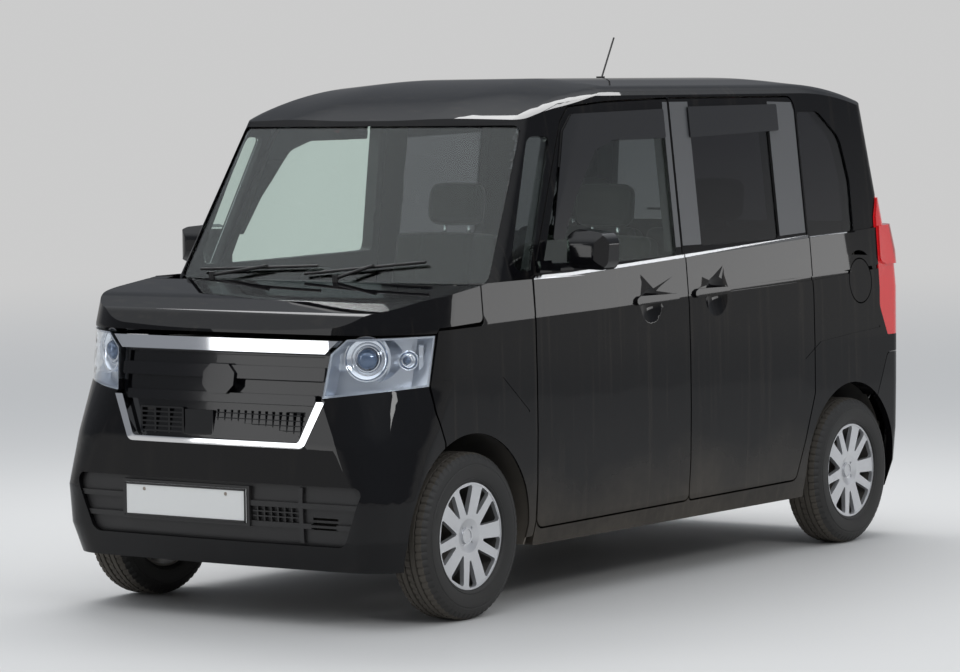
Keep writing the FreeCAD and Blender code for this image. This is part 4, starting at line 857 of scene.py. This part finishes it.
@dataclass
class Pad:
    """A padded form: a crowned block with pulled-in sides, bolsters, a seam and sewn channels."""

    name: str
    size: Point
    radius: float = 0.030
    crown: float = 0.012
    bolster: float = 0.014
    pull: float = 0.008
    channels: tuple[Channel, ...] = ()
    step: float = 0.014

    def build(self, place: Matrix) -> Object:
        """Make the pad.

        Args:
            place: where the pad goes. Its face looks along the matrix's Z.

        Returns:
            The piece.
        """
        length, width, thick = self.size
        inner = (length - 2 * self.pull, width - 2 * self.pull, thick - self.crown - self.bolster)
        verts, faces = rounded_block(inner, self.radius, self.step)
        verts = [place @ self._shaped(vert, inner) for vert in verts]
        piece = new_piece(self.name, verts, faces, [SEAT_CLOTH])
        detail = piece.modifiers.new("detail", "SUBSURF")
        detail.levels = 1
        detail.render_levels = 1
        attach(piece, "body")
        LOG.info("pad %s", self.name)
        return piece

    def _shaped(self, vert: Vector, inner: Point) -> Vector:
        """Move one of the block's points to where the pad's cover lies.

        Args:
            vert: the point, about the block's middle.
            inner: the block's sizes.

        Returns:
            The moved point.
        """
        u, v, w = (vert[axis] / (inner[axis] / 2) for axis in range(3))
        moved = vert.copy()
        swell = (1 - u * u) * (1 - v * v)
        face = max(0.0, w)
        moved.z += face * (self.crown * swell + self.bolster * self._bolstered(u, v))
        moved.x += self.pull * u * (1 - v * v) * (1 - WAIST * w * w)
        moved.y += self.pull * v * (1 - u * u) * (1 - WAIST * w * w)
        if max(abs(u), abs(v)) > SEAM_EDGE:
            seam = math.exp(-((w - SEAM_HEIGHT) / SEAM_SPREAD) ** 2)
            moved.x -= SEAM_DEPTH * seam * u
            moved.y -= SEAM_DEPTH * seam * v
        for channel in self.channels:
            across, other, size = (v, u, inner[1]) if channel.along_length else (u, v, inner[0])
            if channel.low <= other <= channel.high and face > 0:
                off = (across - channel.place) * size / 2
                moved.z -= face * channel.depth * math.exp(-(off / channel.width) ** 2)
        return moved

    def _bolstered(self, u: float, v: float) -> float:
        """Give how far the side bolsters rise at a place on the face."""
        side = max(0.0, min(1.0, (abs(v) - BOLSTER_START) / BOLSTER_RISE))
        return side * side * (3 - 2 * side) * (1 - 0.5 * u * u)


SEAT_ROWS = (("front", 0.250, 0.330, 0.480), ("rear", -0.560, 0.300, 0.560))


@dataclass(frozen=True)
class Seat:
    """One seat. Its places are pairs of distances: behind its own place, and above the floor."""

    label: str
    x: float
    y: float
    width: float
    floor: float = 0.345
    cushion: Pair = (-0.025, 0.255)
    hinge: Pair = (0.210, 0.250)
    lean: float = -12.0
    back_middle: Point = (-0.060, 0.0, 0.320)
    head: Pair = (0.4275, 0.980)
    head_tilt: float = 83.0
    foot: Pair = (-0.025, 0.0955)
    foot_size: Pair = (0.350, 0.188)
    foot_inset: float = 0.100
    foot_taper: float = 0.16
    foot_rounding: float = 0.018
    foot_step: float = 0.04
    posts: Pair = (0.4265, 0.885)
    posts_off: float = 0.055
    post: tuple[Pair, ...] = ((0.0065, -0.06), (0.0065, 0.06), (0.0005, 0.062), (0.0005, -0.062))

    def build(self) -> list[Object]:
        """Make the seat.

        Returns:
            Its cushion, back, headrest, base and posts.
        """
        cushion = Pad(f"cushion_{self.label}", (0.510, self.width, 0.130), channels=sewn(0.50, 0.18, -0.30))
        back = Pad(f"backrest_{self.label}", (0.660, self.width, 0.120), channels=sewn(0.52, 0.42, -0.20))
        rest = Pad(f"headrest_{self.label}", (0.160, 0.240, 0.085), radius=0.034, crown=0.008, bolster=0.0,
                   pull=0.005, channels=(Channel(False, -0.55, depth=0.004),), step=0.010)
        about = Matrix.Rotation(math.pi, 4, "Z")
        leaning = self._at(self.hinge) @ Matrix.Rotation(math.radians(self.lean), 4, "Y")
        upright = Matrix.Rotation(math.radians(90), 4, "Y") @ about
        tilted = self._at(self.head) @ Matrix.Rotation(math.radians(self.head_tilt), 4, "Y")
        return [
            cushion.build(self._at(self.cushion)),
            back.build(leaning @ Matrix.Translation(self.back_middle) @ upright),
            rest.build(tilted @ about), self._base(), self._posts(),
        ]

    def _at(self, place: Pair) -> Matrix:
        """Give the move to one of the seat's places."""
        return Matrix.Translation((self.x - place[0], self.y, self.floor + place[1]))

    def _base(self) -> Object:
        """Make the plastic base below the cushion, narrower at its foot.

        Returns:
            The base.
        """
        length, high = self.foot_size
        verts, faces = rounded_block((length, self.width - self.foot_inset, high), self.foot_rounding,
                                     self.foot_step)
        shaped = []
        for vert in verts:
            share = 1.0 - self.foot_taper * max(0.0, -vert.z / (high / 2))
            shaped.append((self.x - self.foot[0] + vert.x * share, self.y + vert.y,
                           self.floor + self.foot[1] + vert.z))
        base = new_piece(f"seat_base_{self.label}", shaped, faces, [CABIN_PLASTIC])
        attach(base, "body")
        return base

    def _posts(self) -> Object:
        """Make the two posts that carry the headrest.

        Returns:
            The posts, as one piece.
        """
        back, up = self.posts
        parts = [ring_about(Vector((self.x - back, self.y + off, self.floor + up)), Vector((1, 0, 0)),
                            Vector((0, 1, 0)), self.post, 12) for off in (-self.posts_off, self.posts_off)]
        posts = new_piece(f"headrest_posts_{self.label}", *join_parts(parts), [CHROME])
        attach(posts, "body")
        return posts


def build_seats() -> None:
    """Make every seat and let its pieces stand for the solids."""
    for row, x, y, width in SEAT_ROWS:
        seats = [Seat(f"{row}_{side.name.lower()}", x, y * side.value, width) for side in Side]
        for piece in [piece for seat in seats for piece in seat.build()]:
            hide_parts(f"{row}_seats")


# Wheels.


# A tyre's section from its rim to its middle. SIDEWALL: above the rim's edge, and in from the tyre's side.
# SHOULDER: below the tread's top, in from the side, and whether a block is there. RIB: the same, with the
# place from the middle.
SIDEWALL = (
    (0.0, 0.017), (0.004, 0.009), (0.011, 0.0045), (0.013, 0.0060), (0.022, 0.0030), (0.044, 0.0),
    (0.056, 0.0006), (0.058, 0.0026), (0.061, 0.0028), (0.063, 0.0020),
)
SHOULDER = (
    (0.022, 0.0068, False), (0.016, 0.0100, True), (0.005, 0.0195, True), (0.001, 0.032, True),
    (0.0, 0.0405, True), (0.007, 0.0415, False), (0.007, 0.0455, False), (0.0, 0.0465, False),
)
RIB = ((0.0, -0.016, False), (0.007, -0.015, False), (0.007, -0.010, False), (0.0, -0.009, True))


@dataclass(frozen=True)
class Tyre:
    """A road tyre with ribs, grooves, tread blocks and sidewall rings."""

    node: str
    body: str
    side: Side
    radius: float = 0.278
    width: float = 0.157
    rim_radius: float = 0.1785
    pitches: int = 64
    steps: int = 4
    cut: float = 0.0045
    worn: float = 0.0062

    def build(self) -> Object:
        """Make the tyre in place of its solid.

        Returns:
            The piece.
        """
        low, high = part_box(self.node)
        middle = (Vector(low) + Vector(high)) / 2
        profile = self._profile()
        count = self.pitches * self.steps
        verts = []
        for turn in range(count):
            angle = 2 * math.pi * turn / count
            for radius, along, block in profile:
                reach = radius - (self.cut if turn % self.steps == 0 and block else 0.0)
                verts.append((middle.x + reach * math.cos(angle), middle.y + along * self.side.value,
                              middle.z + reach * math.sin(angle)))
        piece = new_piece(self.node.replace("tyre", "road_tyre"), verts,
                          grid_faces(count, len(profile), True, True), [RUBBER, TREAD_WORN_AND_SUNLIT])
        self._tread(piece, middle)
        soft = piece.modifiers.new("soft edges", "NODES")
        soft.node_group = soft_edges()
        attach(piece, self.body)
        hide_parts(self.node)
        LOG.info("tyre %s", piece.name)
        return piece

    def _profile(self) -> list[tuple[float, float, bool]]:
        """Give the tyre's section.

        Returns:
            For each point its radius, its place across, and whether a tread block is there.
        """
        half = self.width / 2
        near = [(self.rim_radius + rise, -half + inset, False) for rise, inset in SIDEWALL]
        near += [(self.radius - drop, -half + inset, block) for drop, inset, block in SHOULDER]
        near += [(self.radius - drop, place, block) for drop, place, block in RIB]
        return near + [(radius, -along, block) for radius, along, block in reversed(near)]

    def _tread(self, piece: Object, middle: Vector) -> None:
        """Give the faces that touch the road their own finish: lighter from road dust and wear, and partly from
        painted sunlight.

        Args:
            piece: the tyre.
            middle: its middle.
        """
        for face in piece.data.polygons:
            away = math.hypot(face.center.x - middle.x, face.center.z - middle.z)
            if away > self.radius - self.worn:
                face.material_index = 1


# Lamps and small trim.


@dataclass(frozen=True)
class Bowl:
    """A round reflector bowl: its middle, the way it faces and its size, on the car's left."""

    name: str
    middle: Point
    facing: Point
    radius: float
    depth: float
    foot: float
    rings: tuple[tuple[float, float, float], ...] = ()
    dome: Pair = (0.0, 0.0)


@dataclass(frozen=True)
class LampInsides:
    """What shows behind the clear lens of each headlamp."""

    bowls: tuple[Bowl, ...] = (
        Bowl("projector", (1.549, 0.540, 0.879), (0.90, 0.42, 0.08), 0.0735, 0.020, 0.030,
             ((0.0400, 0.0030, 0.001), (0.0520, 0.0020, -0.001), (0.0735, 0.0028, 0.010)), (0.0345, 0.026)),
        Bowl("side_reflector", (1.4600, 0.6370, 0.872), (0.66, 0.75, 0.06), 0.0310, 0.016, 0.020,
             ((0.0310, 0.0018, 0.008), (0.0180, 0.0014, -0.001)), (0.0110, 0.010)),
    )
    rib_rows: tuple[tuple[float, float, float, float, int], ...] = (
        (0.4530, 1.5850, 0.4720, 1.5770, 6), (0.6640, 1.4330, 0.6760, 1.4300, 4),
    )
    rib_levels: tuple[Pair, ...] = ((0.838, 0.5), (0.846, 1.0), (0.916, 1.0), (0.924, 0.5))
    rib_sides: int = 8
    rib_fill: float = 0.45
    lip: float = 0.010
    bottom: float = 0.0095
    wall: float = 0.002
    lining: float = 0.001
    eye: float = 0.0006
    dome_base: float = 0.001
    dome_foot: float = -0.012
    turns: tuple[int, int, int] = (56, 48, 40)

    def build(self) -> None:
        """Make both lamps' insides."""
        for side in Side:
            for bowl in self.bowls:
                self._bowl(bowl, side)
            self._ribs(side)

    def _bowl(self, bowl: Bowl, side: Side) -> None:
        """Make a bowl, its bright rings and the glass dome in its middle.

        Args:
            bowl: the bowl's sizes on the left.
            side: the car's side.
        """
        bowl_turns, ring_turns, dome_turns = self.turns
        label = f"{bowl.name}_{side.name.lower()}"
        middle, facing = side.place(bowl.middle), side.place(bowl.facing).normalized()
        across = Vector((0, 0, 1)).cross(facing).normalized()
        upward = facing.cross(across)
        inner, outer = bowl.radius - self.lining, bowl.radius + self.wall
        profile = [(outer, -bowl.foot), (outer, self.lip)]
        profile += [(inner * math.sin(math.radians(a)), self.lip - bowl.depth * math.cos(math.radians(a)))
                    for a in range(90, 2, -8)]
        profile += [(self.eye, self.bottom - bowl.depth), (self.eye, -bowl.foot)]
        dish = new_piece(f"{label}_bowl", *ring_about(middle, across, upward, profile, bowl_turns), [LAMP_BRIGHT])
        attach(dish, "body")
        tubes = []
        for radius, thick, forward in bowl.rings:
            tube = [(radius + thick * math.cos(math.radians(a)), forward + thick * math.sin(math.radians(a)))
                    for a in range(0, 360, 36)]
            tubes.append(ring_about(middle, across, upward, tube, ring_turns))
        rings = new_piece(f"{label}_rings", *join_parts(tubes), [CHROME])
        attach(rings, "body")
        radius, high = bowl.dome
        turned = [(radius * math.cos(math.radians(a)), self.dome_base + high * math.sin(math.radians(a)))
                  for a in range(0, 86, 7)]
        turned += [(self.eye, self.dome_base + high), (self.eye, self.dome_foot), (radius, self.dome_foot)]
        dome = new_piece(f"{label}_dome", *ring_about(middle, across, upward, turned, dome_turns), [PROJECTOR])
        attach(dome, "body")

    def _ribs(self, side: Side) -> None:
        """Make the fine upright ribs beside the bowls.

        Args:
            side: the car's side.
        """
        parts = []
        last = self.rib_sides * (len(self.rib_levels) - 1)
        for y_from, x_from, y_to, x_to, count in self.rib_rows:
            size = abs(y_to - y_from) / (count - 1) * self.rib_fill
            for index in range(count):
                share = index / (count - 1)
                y = y_from + (y_to - y_from) * share
                x = x_from + (x_to - x_from) * share
                verts = []
                for z, scale in self.rib_levels:
                    for turn in range(self.rib_sides):
                        angle = math.radians(360 * turn / self.rib_sides)
                        verts.append((x + size * scale * math.cos(angle),
                                      side.value * (y + size * scale * math.sin(angle)), z))
                faces: list[Sequence[int]] = list(grid_faces(len(self.rib_levels), self.rib_sides, False, True))
                faces += [tuple(range(self.rib_sides)), tuple(range(last, last + self.rib_sides))]
                parts.append((verts, faces))
        ribs = new_piece(f"reflector_ribs_{side.name.lower()}", *join_parts(parts), [LAMP_BRIGHT])
        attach(ribs, "body")


@dataclass(frozen=True)
class PlateTrim:
    """The plate's thin frame and its two fixing bolts."""

    node: str = "front_plate"
    rim: float = 0.007
    thick: float = 0.004
    edge: float = 0.0015
    step: float = 0.05
    proud: float = 0.0005
    bolt_radius: float = 0.006
    bolt_inset: float = 0.085
    bolt_drop: float = 0.020

    def build(self) -> None:
        """Make the frame and the bolts on the plate."""
        low, high = (Vector(corner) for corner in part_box(self.node))
        bars = (
            (low.y, high.y, high.z - self.rim, high.z), (low.y, high.y, low.z, low.z + self.rim),
            (low.y, low.y + self.rim, low.z, high.z), (high.y - self.rim, high.y, low.z, high.z),
        )
        parts = []
        for y0, y1, z0, z1 in bars:
            verts, faces = rounded_block((self.thick, y1 - y0, z1 - z0), self.edge, self.step)
            middle = Vector((high.x + self.proud, (y0 + y1) / 2, (z0 + z1) / 2))
            parts.append(([tuple(middle + vert) for vert in verts], faces))
        frame = new_piece("plate_frame", *join_parts(parts), [DARK_PLASTIC])
        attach(frame, "body")
        head = [(self.bolt_radius, 0.0), (self.bolt_radius, 0.0012), (self.bolt_radius * 0.7, 0.0022),
                (0.0005, 0.0024), (0.0005, 0.0)]
        bolts = [ring_about(Vector((high.x, y, high.z - self.bolt_drop)), Vector((0, 1, 0)), Vector((0, 0, 1)),
                            head, 18) for y in (low.y + self.bolt_inset, high.y - self.bolt_inset)]
        heads = new_piece("plate_bolts", *join_parts(bolts), [STEEL])
        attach(heads, "body")


@dataclass(frozen=True)
class BeltStrips:
    """The bright strips below the rear quarter windows, which carry on the line of the doors' strips."""

    places: tuple[Pair, ...] = ((-1.012, 1.1775), (-1.15, 1.1815), (-1.296, 1.185))
    high: float = 0.009
    proud: float = 0.0025
    sunk: float = 0.001
    edge: float = 0.0015

    def build(self) -> None:
        """Make both strips."""
        section = ((-self.sunk, 0.0), (self.proud, self.edge), (self.proud, self.high - self.edge),
                   (-self.sunk, self.high))
        faces: list[Sequence[int]] = list(grid_faces(len(self.places), len(section), False, True))
        last = len(section) * (len(self.places) - 1)
        faces += [(0, 1, 2, 3), (last, last + 1, last + 2, last + 3)]
        for side in Side:
            verts = [(x, side.value * (window_skin(z) + dy), z + dz) for x, z in self.places for dy, dz in section]
            strip = new_piece(f"quarter_strip_{side.name.lower()}", verts, faces, [BRIGHT_STRIP], soft=False)
            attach(strip, "body")


# The studio.


@dataclass(frozen=True)
class Lamp:
    """A soft lamp: its place, what it looks at, its two sizes and its power in watts."""

    name: str
    place: Point
    aim: Point
    size: Pair
    power: float


@dataclass(frozen=True)
class Studio:
    """The floor, the lamps and the camera. Angles are in degrees."""

    floor_colour: Colour = (0.56, 0.56, 0.555)
    far_colour: Colour = (0.60, 0.60, 0.60)
    floor_size: float = 400.0
    fade: Pair = (7.0, 24.0)
    sky: tuple[tuple[float, Colour], ...] = (
        (0.035, (0.60, 0.60, 0.60)), (0.10, (0.26, 0.27, 0.29)), (0.42, (0.30, 0.32, 0.35)),
        (0.62, (0.95, 0.98, 1.02)), (1.0, (1.25, 1.28, 1.32)),
    )
    lens: float = 142.83
    sensor: float = 36.0
    sight: float = 400.0
    eye: Point = (11.4219, 7.9819, 1.732)
    yaw: float = 215.308
    pitch: float = -3.619
    roll: float = -0.661
    lamps: tuple[Lamp, ...] = (
        Lamp("top lamp", (-1.6, -1.2, 4.6), (-0.2, 0.0, 1.2), (5.0, 1.6), 170.0),
        Lamp("front lamp", (7.0, -3.6, 2.4), (1.2, 0.0, 0.8), (1.6, 3.4), 34.0),
        Lamp("left lamp", (3.2, 7.4, 4.6), (0.2, 0.0, 0.7), (4.4, 1.0), 140.0),
        Lamp("flank lamp", (-7.4, 6.2, 1.50), (0.0, 0.72, 1.1), (3.6, 0.42), 16.0),
    )

    def build(self) -> None:
        """Make the whole studio."""
        self._floor()
        self._world()
        for lamp in self.lamps:
            self._light(lamp)
        self._camera()

    def _floor(self) -> None:
        """Lay the pale floor, which fades into the pale distance."""
        half = self.floor_size / 2
        mesh = bpy.data.meshes.new("floor")
        corners = [(-half, -half, 0), (half, -half, 0), (half, half, 0), (-half, half, 0)]
        mesh.from_pydata(corners, [], [(0, 1, 2, 3)])
        floor = put("floor", mesh)
        material = Finish("floor grey", self.floor_colour, 0.55, specular=0.25).material()
        mesh.materials.append(material)
        nodes = Nodes(material.node_tree)
        made = material.node_tree.nodes
        far = nodes.node("ShaderNodeVectorMath", {0: nodes.place()}, operation="LENGTH")
        ends = {"Value": far.outputs["Value"], "From Min": self.fade[0], "From Max": self.fade[1]}
        share = nodes.node("ShaderNodeMapRange", ends, interpolation_type="SMOOTHSTEP")
        pale = nodes.node("ShaderNodeEmission", {"Color": (*self.far_colour, 1.0)})
        mix = nodes.node("ShaderNodeMixShader", {
            "Fac": share.outputs["Result"], 1: made["Principled BSDF"].outputs[0], 2: pale.outputs[0],
        })
        nodes.feed(made["Material Output"].inputs["Surface"], mix.outputs[0])

    def _world(self) -> None:
        """Light the scene from all round, paler overhead than near the floor."""
        world = bpy.data.worlds.new("studio")
        bpy.context.scene.world = world
        world.use_nodes = True
        nodes = Nodes(world.node_tree)
        place = nodes.node("ShaderNodeTexCoord")
        split = nodes.node("ShaderNodeSeparateXYZ", {0: place.outputs["Generated"]})
        ramp = nodes.node("ShaderNodeValToRGB", {"Fac": split.outputs["Z"]})
        steps = ramp.color_ramp.elements
        for step, (position, colour) in zip(steps, (self.sky[0], self.sky[-1])):
            step.position, step.color = position, (*colour, 1.0)
        for position, colour in self.sky[1:-1]:
            steps.new(position).color = (*colour, 1.0)
        nodes.feed(world.node_tree.nodes["Background"].inputs["Color"], ramp.outputs["Color"])

    def _light(self, lamp: Lamp) -> None:
        """Hang a lamp.

        Args:
            lamp: what it is.
        """
        light = bpy.data.lights.new(lamp.name, "AREA")
        light.shape = "RECTANGLE"
        light.size, light.size_y = lamp.size
        light.energy = lamp.power
        hung = put(lamp.name, light)
        hung.location = lamp.place
        hung.rotation_mode = "QUATERNION"
        hung.rotation_quaternion = (Vector(lamp.aim) - Vector(lamp.place)).to_track_quat("-Z", "Y")

    def _camera(self) -> None:
        """Set up the camera at the photograph's place."""
        data = bpy.data.cameras.new("camera")
        data.sensor_width = self.sensor
        data.lens = self.lens
        data.clip_end = self.sight
        camera = put("camera", data)
        yaw, pitch, roll = (math.radians(v) for v in (self.yaw, self.pitch, self.roll))
        look = Vector((math.cos(yaw) * math.cos(pitch), math.sin(yaw) * math.cos(pitch), math.sin(pitch)))
        level = look.cross(Vector((0, 0, 1))).normalized()
        upright = level.cross(look)
        right = math.cos(roll) * level + math.sin(roll) * upright
        above = math.cos(roll) * upright - math.sin(roll) * level
        turn = Matrix((right, above, -look)).transposed()
        camera.matrix_world = Matrix.Translation(self.eye) @ turn.to_4x4()
        bpy.context.scene.camera = camera


def main() -> None:
    """Dress the solids, build the pieces and set the studio."""
    logging.basicConfig(level=logging.INFO, format="%(message)s")
    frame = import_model()
    Solids().dress(frame["nodes"])
    build_seats()
    for corner, side in WHEELS:
        Tyre(f"tyre_{corner}", f"wheel_{corner}", side).build()
    LampInsides().build()
    PlateTrim().build()
    BeltStrips().build()
    Studio().build()
    bpy.context.scene.view_settings.view_transform = "Standard"


if __name__ == "__main__":
    main()
